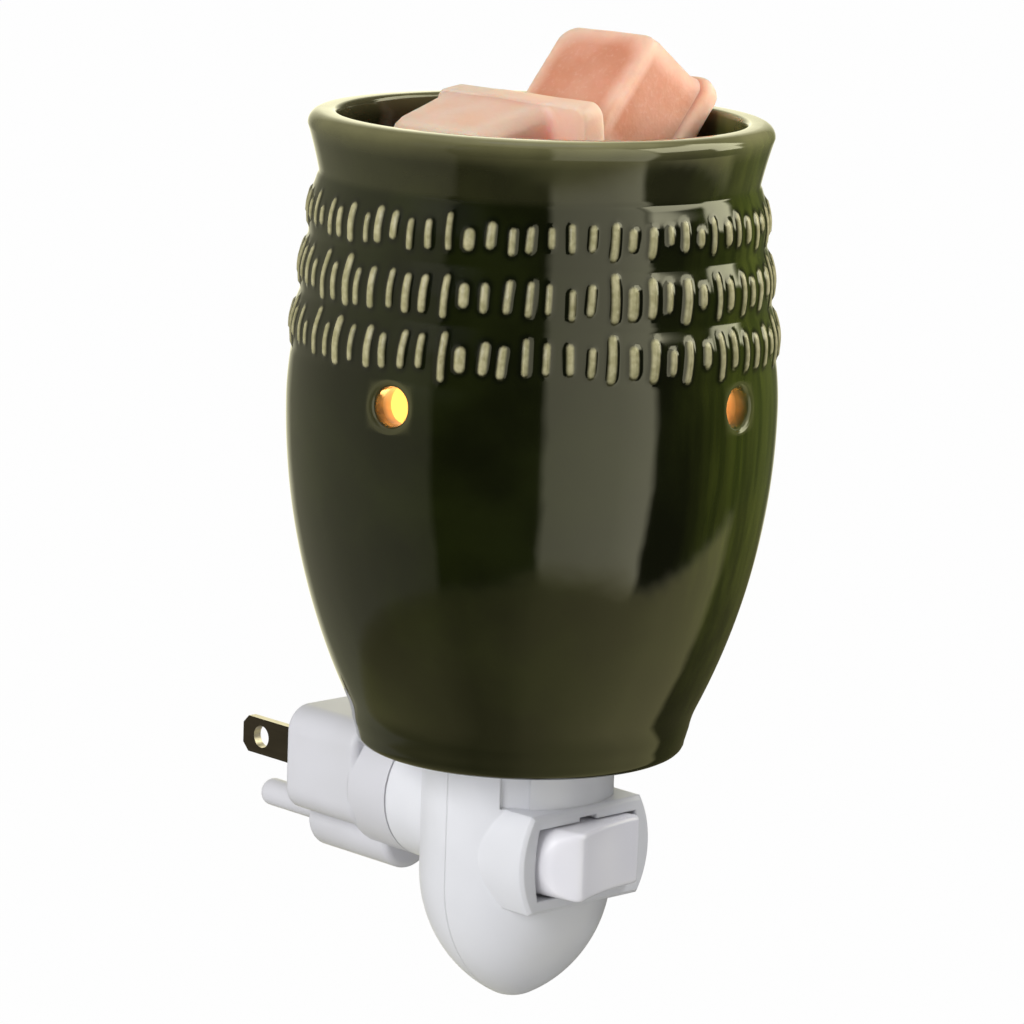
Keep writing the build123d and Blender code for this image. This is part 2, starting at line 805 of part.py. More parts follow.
with BuildPart() as rocker_spring:
    with BuildLine(rocker_inward) as coil:
        for half in range(2 * spring_turns):
            side = 1 - 2 * (half % 2)
            level = spring_start + half * spring_pitch / 2
            ThreePointArc(
                (side * spring_coil_radius, 0, level),
                (0, side * hypot(spring_coil_radius, spring_pitch / 4), level + spring_pitch / 4),
                (-side * spring_coil_radius, 0, level + spring_pitch / 2),
            )
    with BuildSketch(Plane(coil.line @ 0, z_dir=coil.line % 0)):
        Circle(spring_wire_radius)
    sweep(path=coil.line)
finish(rocker_spring, "rocker_spring")


# Switch contacts: the arm tips on the line strip's saddle and meets the lamp terminal

carrier_front = shelf_end + carrier_thickness
arm_place = turned(arm_pivot, -arm_tilt, switch_height)
neutral_x = contact_ring_radius
wiper_depth = spigot_end - contact_thickness - wiper_gap

with BuildPart() as contact_arm:
    with BuildSketch(arm_place):
        with Locations((0, -arm_thickness / 2)):
            Rectangle(2 * arm_half_length, arm_thickness)
    extrude(amount=arm_half_height, both=True)
finish(contact_arm, "contact_arm")

with BuildPart() as switch_carrier:
    with BuildSketch(front_plane(shelf_end)):
        Rectangle(2 * carrier_half_width, 2 * opening_half_height)
        Rectangle(wiper_width, 2 * saddle_half_height, mode=Mode.SUBTRACT)
        with Locations((-lamp_terminal_place, 0)):
            Rectangle(terminal_width, 2 * saddle_half_height, mode=Mode.SUBTRACT)
    extrude(amount=carrier_thickness)
finish(switch_carrier, "switch_carrier")

with BuildPart() as lamp_terminal:
    terminal_front = arm_pivot - lamp_terminal_place * sin(radians(arm_tilt)) - lamp_terminal_gap
    with BuildSketch(front_plane(terminal_front)):
        with Locations((-lamp_terminal_place, 0)):
            Rectangle(terminal_width, 2 * saddle_half_height)
    extrude(amount=-(terminal_front - shelf_end + terminal_tail))
finish(lamp_terminal, "lamp_terminal")


def bent_strip(place, points):
    """Springy strip of even thickness through a row of points of an upright plane."""
    with BuildSketch(place) as section:
        with BuildLine():
            FilletPolyline(*points, radius=wiper_bend)
            offset(amount=strip_thickness, side=Side.LEFT)
        make_face()
    extrude(section.sketch, amount=wiper_width / 2, both=True)


def lamp_side(place):
    """Upright plane along the warmer's depth, its origin on the lamp's axis."""
    return Plane(origin=(place, -plug_reach, 0), x_dir=(0, 1, 0), z_dir=(1, 0, 0))


with BuildPart() as line_strip:
    with BuildSketch(front_plane(arm_pivot - saddle_gap)):
        Rectangle(terminal_width, 2 * saddle_half_height)
    extrude(amount=-(arm_pivot - saddle_gap - carrier_front))
    with BuildSketch(front_plane(carrier_front)):
        Rectangle(wiper_width, 2 * saddle_half_height)
    extrude(amount=-carrier_thickness)
    bent_strip(
        lamp_side(0),
        (
            (-shelf_end, switch_height),
            (line_strip_turn, switch_height),
            (wiper_depth, -wiper_rest / 2),
            (wiper_depth, wiper_rest),
        ),
    )
finish(line_strip, "line_strip")

neutral_foot_top = switch_height - neutral_foot_drop
neutral_foot_bottom = switch_height - opening_half_height + neutral_foot_lift

with BuildPart() as neutral_wiper:
    with BuildSketch(front_plane(shelf_end)):
        with Locations((neutral_x + neutral_foot_side / 2, neutral_foot_bottom - switch_height)):
            Rectangle(
                wiper_width + neutral_foot_side,
                neutral_foot_top - neutral_foot_bottom,
                align=(Align.CENTER, Align.MIN),
            )
    extrude(amount=-strip_thickness)
    bent_strip(
        lamp_side(neutral_x),
        (
            (-shelf_end, neutral_foot_top - strip_thickness),
            (line_strip_turn, neutral_foot_top - strip_thickness),
            (wiper_depth, -wiper_rest / 2),
            (wiper_depth, wiper_rest),
        ),
    )
finish(neutral_wiper, "neutral_wiper")


# Lamp holder: a tube with a flange held between the base's deck and ledge, and its contacts

sleeve_outer = sleeve_radius + sleeve_wall

with BuildPart() as lamp_holder:
    with BuildSketch(lamp_section):
        with BuildLine():
            Polyline(
                (holder_bore, holder_bottom),
                (holder_radius, holder_bottom),
                (holder_radius, ledge_level),
                (holder_flange_radius, ledge_level),
                (holder_flange_radius, ledge_level + holder_flange_thickness),
                (holder_radius, ledge_level + holder_flange_thickness),
                (holder_radius, holder_bottom + holder_length),
                (sleeve_outer + sleeve_fit, holder_bottom + holder_length),
                (sleeve_outer + sleeve_fit, sleeve_seat),
                (step_bore, sleeve_seat),
                (step_bore, web_top),
                (0, web_top),
                (0, web_bottom),
                (holder_bore, web_bottom),
                close=True,
            )
        make_face()
    revolve(axis=lamp_axis)
    with BuildSketch(lamp_plane(web_bottom)):
        Circle(rivet_radius)
        with Locations((neutral_hole_place, 0)):
            Circle(wire_radius + wire_hole_clearance)
    extrude(amount=sleeve_seat - web_bottom, mode=Mode.SUBTRACT)
finish(lamp_holder, "lamp_holder")

with BuildPart() as holder_sleeve:
    with BuildSketch(lamp_section):
        with BuildLine():
            Polyline(
                (sleeve_radius, sleeve_seat + sleeve_lip_thickness),
                (sleeve_radius, sleeve_seat + sleeve_length),
                (sleeve_outer, sleeve_seat + sleeve_length),
                (sleeve_outer, sleeve_seat),
                (sleeve_outer - sleeve_lip, sleeve_seat),
                (sleeve_outer - sleeve_lip, sleeve_seat + sleeve_lip_thickness),
                close=True,
            )
        make_face()
    revolve(axis=lamp_axis)
finish(holder_sleeve, "holder_sleeve")

with BuildPart() as holder_contact:
    with BuildSketch(lamp_plane(web_top)):
        Rectangle(2 * leaf_half_width, 2 * leaf_half_length)
        Circle(rivet_radius, mode=Mode.SUBTRACT)
    extrude(amount=leaf_thickness)
finish(holder_contact, "holder_contact")

with BuildPart() as holder_rivet:
    with BuildSketch(lamp_plane(web_bottom)):
        Circle(rivet_radius)
    extrude(amount=leaf_top - web_bottom)
    with BuildSketch(lamp_plane(web_bottom)):
        Circle(rivet_head_radius)
    extrude(amount=-rivet_head_height)
finish(holder_rivet, "holder_rivet")


# Wires from the switch and the neutral wiper up to the lamp holder

wire_start = terminal_tail - shelf_end
foot_wire_x = neutral_x + neutral_foot_side
foot_wire_level = (neutral_foot_top + neutral_foot_bottom) / 2

with BuildPart() as wire_switched:
    round_wire(
        (
            (-lamp_terminal_place, wire_start - plug_reach, switch_height),
            (-lamp_terminal_place, wire_back - plug_reach, switch_height),
            (-lamp_terminal_place, wire_back - plug_reach, holder_bottom - wire_turn_drop),
            (0, -plug_reach, holder_bottom + wire_turn_rise),
            (0, -plug_reach, web_bottom - rivet_head_height),
        ),
        wire_radius,
        wire_bend,
    )
finish(wire_switched, "wire_switched")

with BuildPart() as wire_neutral:
    round_wire(
        (
            (foot_wire_x, strip_thickness - shelf_end - plug_reach, foot_wire_level),
            (foot_wire_x, wire_back - plug_reach, foot_wire_level),
            (foot_wire_x, wire_back - plug_reach, neutral_wire_turn),
            (neutral_hole_place, -plug_reach, holder_bottom - wire_radius),
            (neutral_hole_place, -plug_reach, sleeve_seat),
        ),
        wire_radius,
        wire_bend,
    )
finish(wire_neutral, "wire_neutral")


# Candelabra lamp

cap_bottom = lamp_bottom + tip_contact_height + insulator_height
cap_top = cap_bottom + cap_length
cap_inner = cap_radius - cap_wall
glass_bottom = cap_top - glass_set
bulb_belly_level = cap_top + bulb_belly_rise
bulb_top = cap_top + bulb_length
glass_neck = cap_inner - glass_fit

with BuildPart() as bulb_tip:
    with BuildSketch(lamp_plane(lamp_bottom)):
        Circle(tip_contact_radius)
    extrude(amount=tip_contact_height)
    fillet(bulb_tip.faces().sort_by(Axis.Z)[0].edges(), tip_contact_round)
finish(bulb_tip, "bulb_tip")

with BuildPart() as bulb_insulator:
    with BuildSketch(lamp_section):
        with BuildLine():
            Polyline(
                (0, lamp_bottom + tip_contact_height),
                (tip_contact_radius, lamp_bottom + tip_contact_height),
                (insulator_radius, cap_bottom),
                (0, cap_bottom),
                close=True,
            )
        make_face()
    revolve(axis=lamp_axis)
finish(bulb_insulator, "bulb_insulator")

with BuildPart() as bulb_cap:
    with BuildSketch(lamp_section):
        with BuildLine():
            Polyline(
                (0, cap_bottom),
                (cap_radius, cap_bottom),
                (cap_radius, cap_top),
                (cap_inner, cap_top),
                (cap_inner, cap_bottom + cap_wall),
                (0, cap_bottom + cap_wall),
                close=True,
            )
        make_face()
    revolve(axis=lamp_axis)
finish(bulb_cap, "bulb_cap")


def bulb_side(inset):
    """Side of the bulb from its neck to its tip, moved in by an inset."""
    neck = glass_neck - inset
    belly = bulb_radius - inset
    middle = ((neck + belly) / 2, (cap_top + bulb_belly_level) / 2)
    Line((neck, glass_bottom), (neck, cap_top))
    TangentArc((neck, cap_top), middle, tangent=(0, 1))
    TangentArc((belly, bulb_belly_level), middle, tangent=(0, -1))
    TangentArc((belly, bulb_belly_level), (bulb_tip_radius, bulb_top - inset), tangent=(0, 1))


with BuildPart() as bulb_glass:
    with BuildSketch(lamp_section):
        with BuildLine():
            bulb_side(0)
            bulb_side(bulb_wall)
            Line((bulb_tip_radius, bulb_top), (0, bulb_top))
            Line((0, bulb_top), (0, bulb_top - bulb_wall))
            Line((0, bulb_top - bulb_wall), (bulb_tip_radius, bulb_top - bulb_wall))
            Line((glass_neck, glass_bottom), (glass_neck - bulb_wall, glass_bottom))
        make_face()
    revolve(axis=lamp_axis)
finish(bulb_glass, "bulb_glass")

stem_top = glass_bottom + stem_height
stem_foot = glass_neck - bulb_wall - stem_fit

with BuildPart() as bulb_stem:
    with BuildSketch(lamp_section):
        with BuildLine():
            Polyline(
                (0, glass_bottom),
                (stem_foot, glass_bottom),
                (stem_foot, glass_bottom + stem_collar),
                (stem_radius, stem_top),
                (0, stem_top),
                close=True,
            )
        make_face()
    revolve(axis=lamp_axis)
finish(bulb_stem, "bulb_stem")

with BuildPart() as bulb_filament:
    round_wire(
        (
            (-filament_root, -plug_reach, stem_top),
            (-filament_half_span, -plug_reach, stem_top + filament_rise),
            (filament_half_span, -plug_reach, stem_top + filament_rise),
            (filament_root, -plug_reach, stem_top),
        ),
        filament_radius,
        filament_bend,
    )
finish(bulb_filament, "bulb_filament")


# Wax melts lying in the dish

def wax_cake(cake, place, yaw, pitch, size, web, lip):
    """One tapered cake from its flange's place over the dish's floor, turned and tipped."""
    turn = radians(yaw)
    rise = radians(pitch)
    flange_plane = Plane(
        origin=(place[0], place[1] - plug_reach, dish_level + place[2]),
        x_dir=(sin(turn), -cos(turn), 0),
        z_dir=(-cos(rise) * cos(turn), -cos(rise) * sin(turn), sin(rise)),
    )
    way_out = Axis(flange_plane.origin, flange_plane.z_dir)
    broad, deep = size
    with BuildSketch(flange_plane) as flange:
        with Locations((web / 2, 0)):
            RectangleRounded(broad + 2 * lip + web, deep + 2 * lip, wax_corner)
    extrude(flange.sketch, amount=wax_flange)
    fillet(cake.faces().sort_by(way_out)[0].edges() + cake.faces().sort_by(way_out)[-1].edges(), wax_edge)
    with BuildSketch(flange_plane.offset(wax_flange - wax_edge)) as broad_end:
        RectangleRounded(broad, deep, wax_corner)
    with BuildSketch(flange_plane.offset(wax_height)) as small_end:
        RectangleRounded(broad - 2 * wax_taper, deep - 2 * wax_taper, wax_corner)
    loft([broad_end.sketch, small_end.sketch])
    fillet(cake.faces().sort_by(way_out)[-1].edges(), wax_edge)


with BuildPart() as wax_left:
    wax_cake(
        wax_left,
        wax_left_place,
        wax_left_yaw,
        wax_left_pitch,
        wax_left_size,
        wax_left_web,
        wax_left_lip,
    )
finish(wax_left, "wax_left")

with BuildPart() as wax_right:
    wax_cake(
        wax_right,
        wax_right_place,
        wax_right_yaw,
        wax_right_pitch,
        wax_right_size,
        wax_right_web,
        wax_right_lip,
    )
finish(wax_right, "wax_right")
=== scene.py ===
import json
import math
import bmesh
import bpy
import numpy as np
from mathutils import Matrix, Vector


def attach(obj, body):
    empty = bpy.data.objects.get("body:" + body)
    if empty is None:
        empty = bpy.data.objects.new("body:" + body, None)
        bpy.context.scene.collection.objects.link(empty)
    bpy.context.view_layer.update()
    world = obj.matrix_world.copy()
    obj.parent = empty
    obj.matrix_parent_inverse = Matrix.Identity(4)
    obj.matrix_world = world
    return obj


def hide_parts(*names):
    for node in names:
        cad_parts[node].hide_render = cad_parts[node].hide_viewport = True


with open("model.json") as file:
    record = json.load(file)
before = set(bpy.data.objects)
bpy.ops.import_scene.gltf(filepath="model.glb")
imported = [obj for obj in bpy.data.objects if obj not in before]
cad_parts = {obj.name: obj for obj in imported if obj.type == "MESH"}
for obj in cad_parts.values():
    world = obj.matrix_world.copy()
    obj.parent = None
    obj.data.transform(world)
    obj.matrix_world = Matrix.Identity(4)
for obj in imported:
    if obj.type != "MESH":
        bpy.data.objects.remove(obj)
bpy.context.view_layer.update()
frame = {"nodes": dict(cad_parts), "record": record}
nodes = frame["nodes"]
print("frame loaded with", len(nodes), "pieces")

mm = 0.001
lampAxisY = -45.5     # the lamp stands this far in front of the wall, mm


# colours are written as they look on screen, 0 to 255
def paint(red, green, blue):
    screen = np.array([red, green, blue]) / 255.0
    linear = np.where(screen <= 0.04045, screen / 12.92, ((screen + 0.055) / 1.055) ** 2.4)
    return (*linear.tolist(), 1.0)


class Wire:
    # one socket of a finish, so that values can be added and multiplied like numbers
    def __init__(self, finish, socket):
        self.finish = finish
        self.socket = socket

    def maths(self, operation, first, second):
        return self.finish.node("ShaderNodeMath", {"operation": operation}, {0: first, 1: second})

    def __add__(self, other):
        return self.maths("ADD", self, other)

    def __radd__(self, other):
        return self.maths("ADD", other, self)

    def __sub__(self, other):
        return self.maths("SUBTRACT", self, other)

    def __rsub__(self, other):
        return self.maths("SUBTRACT", other, self)

    def __mul__(self, other):
        return self.maths("MULTIPLY", self, other)

    def __rmul__(self, other):
        return self.maths("MULTIPLY", other, self)


class Finish:
    # a material, or the sky; fixed values go straight on the shader, the rest is wired below
    def __init__(self, name, fixed, family=bpy.data.materials, shaderName="Principled BSDF"):
        self.material = family.new(name)
        self.material.use_nodes = True
        self.tree = self.material.node_tree
        self.shader = self.tree.nodes[shaderName]
        for socketName, value in fixed.items():
            self.shader.inputs[socketName].default_value = value

    def node(self, kind, settings, inputs, output=0):
        made = self.tree.nodes.new(kind)
        for setting, value in settings.items():
            setattr(made, setting, value)
        for key, value in inputs.items():
            if isinstance(value, Wire):
                self.tree.links.new(value.socket, made.inputs[key])
            else:
                made.inputs[key].default_value = value
        return Wire(self, made.outputs[output])

    def feed(self, socketName, value):
        self.tree.links.new(value.socket, self.shader.inputs[socketName])

    def place(self):
        # the piece's own coordinates in mm
        spot = self.node("ShaderNodeTexCoord", {}, {}, "Object")
        return self.node("ShaderNodeVectorMath", {"operation": "SCALE"}, {0: spot, "Scale": 1000.0})

    def noise(self, scale, detail=3.0, stretch=(1, 1, 1)):
        spot = self.node("ShaderNodeVectorMath", {"operation": "MULTIPLY"}, {0: self.place(), 1: stretch})
        inputs = {"Vector": spot, "Scale": scale, "Detail": detail}
        return self.node("ShaderNodeTexNoise", {}, inputs, "Fac")

    def mark(self, name):
        return self.node("ShaderNodeAttribute", {"attribute_name": name}, {}, "Fac")

    def ramp(self, value, low, high, start=0.0, end=1.0):
        inputs = {"Value": value, "From Min": low, "From Max": high, "To Min": start, "To Max": end}
        return self.node("ShaderNodeMapRange", {"interpolation_type": "SMOOTHSTEP"}, inputs)

    def blend(self, share, first, second):
        inputs = {0: share, 6: first, 7: second}
        return self.node("ShaderNodeMix", {"data_type": "RGBA"}, inputs, 2)

    def shades(self, share, colours):
        return self.blend(share, paint(*colours[0]), paint(*colours[1]))

    def bump(self, height, depth, over=None):
        inputs = {"Height": height, "Strength": 1.0, "Distance": depth}
        if over is not None:
            inputs["Normal"] = over
        return self.node("ShaderNodeBump", {}, inputs)

    def whiteWhereSeen(self, kind, outputName, most=1.0):
        # white to the camera, in mirrors and through glass, and the shader's own light elsewhere
        path = self.node("ShaderNodeLightPath", {}, {}, "Is Camera Ray")
        for ray in ("Is Glossy Ray", "Is Transmission Ray"):
            path = path + self.node("ShaderNodeLightPath", {}, {}, ray)
        white = self.node(kind, {}, {"Color": (1, 1, 1, 1), "Strength": 1.0})
        own = Wire(self, self.shader.outputs[0])
        mixed = self.node("ShaderNodeMixShader", {}, {0: path * most, 1: own, 2: white})
        self.tree.links.new(mixed.socket, self.tree.nodes[outputName].inputs["Surface"])


# quads of a grid of points, rows by columns, joined round the columns
def ringQuads(rows, columns, first=0):
    row = np.arange(rows - 1)[:, None]
    column = np.arange(columns)[None, :]
    following = (column + 1) % columns
    corners = [row * columns + column, row * columns + following]
    corners += [(row + 1) * columns + following, (row + 1) * columns + column]
    return np.stack(corners, axis=-1) + first


# a value for each point of a mesh, which its finish reads by name
def addMarks(mesh, marks):
    for markName, values in marks.items():
        layer = mesh.attributes.new(markName, "FLOAT", "POINT")
        layer.data.foreach_set("value", values.ravel().astype(np.float32))


# how near points are one point, and how short an edge is dropped, mm
meshing = {"mergeGap": 0.002, "shortest": 0.0001}


# a finished piece from points in mm and quads, its spare points dropped and its faces turned outward
def makePiece(name, points, quads, finish, body, marks, sharpAngle=42):
    used, corners = np.unique(quads, return_inverse=True)
    mesh = bpy.data.meshes.new(name)
    mesh.from_pydata((points[used] * mm).tolist(), [], corners.reshape(-1, 4).tolist())
    addMarks(mesh, {markName: values[used] for markName, values in marks.items()})
    work = bmesh.new()
    work.from_mesh(mesh)
    bmesh.ops.remove_doubles(work, verts=work.verts, dist=meshing["mergeGap"] * mm)
    bmesh.ops.dissolve_degenerate(work, edges=work.edges, dist=meshing["shortest"] * mm)
    bmesh.ops.recalc_face_normals(work, faces=work.faces)
    work.to_mesh(mesh)
    work.free()
    mesh.shade_smooth()
    mesh.set_sharp_from_angle(angle=math.radians(sharpAngle))
    mesh.materials.append(finish.material)
    piece = bpy.data.objects.new(name, mesh)
    bpy.context.scene.collection.objects.link(piece)
    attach(piece, body)
    return piece


# ceramic shade, heights above its foot in mm
shade = {
    "footLevel": 12.5,
    "height": 104.0,
    "wall": 4.5,
    "floor": 4.5,
    "opening": 19.7,
    "recessRadius": 23.9,
    "recessDepth": 1.5,
    "footRadius": 28.2,
    "footToe": 27.2,
    "footRound": 1.6,
    "footRise": 6.0,
    "footBlend": (2.1, 1.9),
    "belly": (40.1, 57.0),
    "bandBase": 65.5,
    "bandHeight": 9.3,
    "bandRadii": (39.45, 38.3, 37.15, 36.0),
    "bandBulge": 0.75,
    "bandCircle": 0.55,
    "bandReach": 1.0,
    "outsideSlack": 0.7,
    "neck": (35.7, 94.0),
    "flare": (36.62, 97.9),
    "rimRadius": 37.75,
    "rimMiddle": 35.6,
    "rimRound": 2.2,
    "rimWidth": 4.8,
    "rimInnerRound": 1.0,
    "dishFloorRadius": 21.0,
    "dishDepth": 18.0,
    "dishThickness": 4.5,
    "ceilingRadius": 31.7,
    "columns": 504,
    "vents": 4,
    "ventRadius": 3.15,
    "ventHeight": 61.0,
    "ventTurn": 12.0,
    "ventHalfColumns": 10,
    "ventHalfHeight": 4.5,
    "ventRowStep": 0.9,
    "ventLip": 1.1,
    "rimSpread": 3.0,
    "neckThin": 0.08,
    "neckFade": (0.8, 1.0),
    "neckSlack": 0.1,
    "ventThin": 0.2,
    "ventFade": (0.2, 0.9),
}

# raised dashes on the three bands, one entry per band from the lowest, lengths in mm
dashes = {
    "seed": 5,
    "count": 72,
    "shortest": (3.9, 3.9, 3.2),
    "longest": (8.6, 8.8, 6.9),
    "width": 1.65,
    "lean": 2.0,
    "proud": 0.39,
    "edge": (-0.15, 0.6),
    "shortRun": (0.0, 0.45),
    "longRun": (0.3, 1.0),
    "broad": (0.8, 1.15),
    "lengthDrift": 0.14,
    "widthDrift": 0.1,
    "liftDrift": 0.5,
    "shiftDrift": 0.12,
    "leanDrift": 3.0,
    "margin": 0.3,
    "mostRoom": 1.2,
}


# points on an ellipse between two angles in degrees
def arcPoints(centre, across, up, start, end, steps):
    angle = np.radians(np.linspace(start, end, steps + 1))
    return np.stack([centre[0] + across * np.cos(angle), centre[1] + up * np.sin(angle)], axis=1)


# radius of a side that stands upright at the top point and bows in to the bottom point
def bowedSide(height, top, bottom):
    inward = top[0] - bottom[0]
    drop = top[1] - bottom[1]
    bow = (inward ** 2 + drop ** 2) / (2 * inward)
    return top[0] - bow + np.sqrt(bow ** 2 - (height - top[1]) ** 2)


# radius of the outside at a height: one bow below the belly's widest level, another above it
def outerRadius(height):
    belly = shade["belly"]
    foot = (shade["footRadius"], shade["footRise"])
    band = (shade["bandRadii"][0], shade["bandBase"])
    below = bowedSide(np.minimum(height, belly[1]), belly, foot)
    above = bowedSide(np.maximum(height, belly[1]), belly, band)
    return np.where(height <= belly[1], below, above)


# radius of the lamp chamber at a height: a bow below the widest level, a straight slope above
def innerRadius(height):
    top = (shade["belly"][0] - shade["wall"], shade["belly"][1])
    foot = (shade["footRadius"] - shade["wall"], shade["floor"])
    ceiling = shade["height"] - shade["dishDepth"] - shade["dishThickness"]
    below = bowedSide(np.minimum(height, top[1]), top, foot)
    above = np.interp(height, [top[1], ceiling], [top[0], shade["ceilingRadius"]])
    return np.where(height <= top[1], below, above)


# a bow between two points, standing out by the bulge at the middle: part circle, part cosine wave
def bulgedArc(low, high, bulge, steps):
    share = np.linspace(0, 1, steps + 1)
    chord = math.hypot(high[0] - low[0], high[1] - low[1])
    radius = chord ** 2 / (8 * bulge) + bulge / 2
    along = (share - 0.5) * chord
    circle = np.sqrt(radius ** 2 - along ** 2) - (radius - bulge)
    wave = bulge * (0.5 - 0.5 * np.cos(2 * math.pi * share))
    out = shade["bandCircle"] * circle + (1 - shade["bandCircle"]) * wave
    normal = np.array([high[1] - low[1], low[0] - high[0]]) / chord
    line = np.array(low) + share[:, None] * (np.array(high) - np.array(low))
    return line + out[:, None] * normal


# circle through three points, from the first to the last
def throughArc(first, middle, last, steps):
    a, b, c = np.array(first), np.array(middle), np.array(last)
    lhs = 2 * np.array([b - a, c - a])
    centre = np.linalg.solve(lhs, np.array([b @ b - a @ a, c @ c - a @ a]))
    radius = np.linalg.norm(a - centre)
    angles = [math.degrees(math.atan2(p[1] - centre[1], p[0] - centre[0])) % 360 for p in (a, c)]
    return arcPoints(centre, radius, radius, angles[0], angles[1], steps)


# evenly spaced points on a line
def straight(first, last, steps):
    share = np.linspace(0, 1, steps + 1)[:, None]
    return np.array(first) + share * (np.array(last) - np.array(first))


# points of a side whose radius follows from the height
def sidePoints(radiusAt, heights):
    return np.stack([radiusAt(heights), heights], axis=1)


# stretches of a profile joined end to end, each shared point kept once
def chain(pieces):
    return np.concatenate([pieces[0]] + [piece[1:] for piece in pieces[1:]])


# heights of the rows of points beside the vents
def ventRows():
    low = shade["ventHeight"] - shade["ventHalfHeight"]
    steps = int(round(2 * shade["ventHalfHeight"] / shade["ventRowStep"]))
    return np.linspace(low, shade["bandBase"], steps + 1)


# the outside of the ceramic from the opening in its foot, up the side, over the rim to the dish's middle
def outerProfile():
    top, foot, toe = shade["height"], shade["footRadius"], shade["footToe"]
    bend, rise = shade["footRound"], shade["footRise"]
    opening, recess, depth = shade["opening"], shade["recessRadius"], shade["recessDepth"]
    rim, rimRound, innerRound = shade["rimRadius"], shade["rimRound"], shade["rimInnerRound"]
    blendLow, blendTop = rise - shade["footBlend"][0], rise + shade["footBlend"][1]
    share = np.linspace(0, 1, 6)[:, None]
    ends = [
        np.array([toe + (foot - toe) * blendLow / rise, blendLow]),
        np.array([foot, rise]),
        np.array([float(outerRadius(blendTop)), blendTop]),
    ]
    footBlend = (1 - share) ** 2 * ends[0] + 2 * share * (1 - share) * ends[1] + share ** 2 * ends[2]
    footEnd = arcPoints((toe - bend, bend), bend, bend, -90, 0, 5)
    beside = ventRows()
    lowSide = np.linspace(blendTop, beside[0], 34)
    levels = shade["bandBase"] + shade["bandHeight"] * np.arange(4)
    grooves = list(zip(shade["bandRadii"], levels.tolist()))
    bulge = shade["bandBulge"]
    rimLevel = top - rimRound
    innerRim = rim - shade["rimWidth"]
    mouth = top - innerRound
    dishFloor, dishLevel = shade["dishFloorRadius"], top - shade["dishDepth"]
    return chain([
        np.array([
            (opening, shade["floor"]), (opening, depth), (recess, depth), (recess, 0), (toe - bend, 0),
        ]),
        footEnd,
        straight(footEnd[-1], ends[0], 2),
        footBlend,
        sidePoints(outerRadius, lowSide),
        sidePoints(outerRadius, beside),
        *[bulgedArc(low, high, bulge, 19) for low, high in zip(grooves, grooves[1:])],
        straight(grooves[3], shade["neck"], 2),
        throughArc(shade["neck"], shade["flare"], (rim, rimLevel), 11),
        arcPoints((rim - rimRound, rimLevel), rimRound, rimRound, 0, 90, 6),
        straight((rim - rimRound, top), (innerRim + innerRound, top), 2),
        arcPoints((innerRim + innerRound, mouth), innerRound, innerRound, 90, 180, 4),
        arcPoints((dishFloor, mouth), innerRim - dishFloor, mouth - dishLevel, 0, -90, 14),
        straight((dishFloor, dishLevel), (0, dishLevel), 4),
    ])


# the lamp chamber from the middle of its ceiling down to the opening
def innerProfile():
    ceiling = shade["height"] - shade["dishDepth"] - shade["dishThickness"]
    beside = ventRows()[::-1]
    high = np.linspace(ceiling, shade["bandBase"], 5)
    low = np.linspace(beside[-1], shade["floor"], 16)
    footRadius = shade["footRadius"] - shade["wall"]
    return chain([
        straight((0, ceiling), (shade["ceilingRadius"], ceiling), 3),
        sidePoints(innerRadius, high),
        sidePoints(innerRadius, beside),
        sidePoints(innerRadius, low),
        straight((footRadius, shade["floor"]), (shade["opening"], shade["floor"]), 1),
    ])


farAway = 9.0     # distance from a dash where there is none, mm


# signed distance in mm to the edge of the nearest dash, each dash a leaning stadium on the unrolled band
def dashDistance(angle, height):
    dice = np.random.default_rng(dashes["seed"])
    nearest = np.full(angle.shape, farAway)
    count = dashes["count"]
    pitch = 2 * math.pi / count

    def drift(name):
        return dice.uniform(-dashes[name], dashes[name], count)

    # the three bands share one run of long and short dashes, each a little off
    shortRun = dice.uniform(*dashes["shortRun"], count)
    longRun = dice.uniform(*dashes["longRun"], count)
    run = np.where(np.arange(count) % 2, shortRun, longRun)
    broad = dice.uniform(*dashes["broad"], count)
    for band in range(3):
        radius = sum(shade["bandRadii"][band:band + 2]) / 2 + shade["bandBulge"]
        middle = shade["bandBase"] + (band + 0.5) * shade["bandHeight"]
        reach = (run + drift("lengthDrift")).clip(0, 1)
        length = dashes["shortest"][band] + (dashes["longest"][band] - dashes["shortest"][band]) * reach
        width = dashes["width"] * broad * (1 + drift("widthDrift"))
        room = (shade["bandHeight"] - dashes["margin"] - length).clip(0, dashes["mostRoom"])
        lift = drift("liftDrift") * room
        shift = drift("shiftDrift") * pitch
        lean = np.tan(np.radians(dashes["lean"] + drift("leanDrift")))
        for step in (-1, 0, 1):
            index = np.floor(angle / pitch).astype(int) + step
            which = index % count
            along = height - middle - lift[which]
            across = radius * (angle - (index + 0.5) * pitch - shift[which]) - along * lean[which]
            past = np.maximum(np.abs(along) - (length[which] - width[which]) / 2, 0)
            nearest = np.minimum(nearest, np.hypot(across, past) - width[which] / 2)
    return nearest


# points of a turned profile: radius and height carried round the lamp's axis
def turnedPoints(radius, height, angle):
    heading = angle + math.radians(shade["ventTurn"])
    return np.stack([
        radius * np.sin(heading),
        lampAxisY - radius * np.cos(heading),
        shade["footLevel"] + height,
    ], axis=-1)


# 0 up to the low value, 1 from the high one, and a cubic with level ends between
def smoothStep(value, low, high):
    share = ((value - low) / (high - low)).clip(0, 1)
    return share * share * (3 - 2 * share)


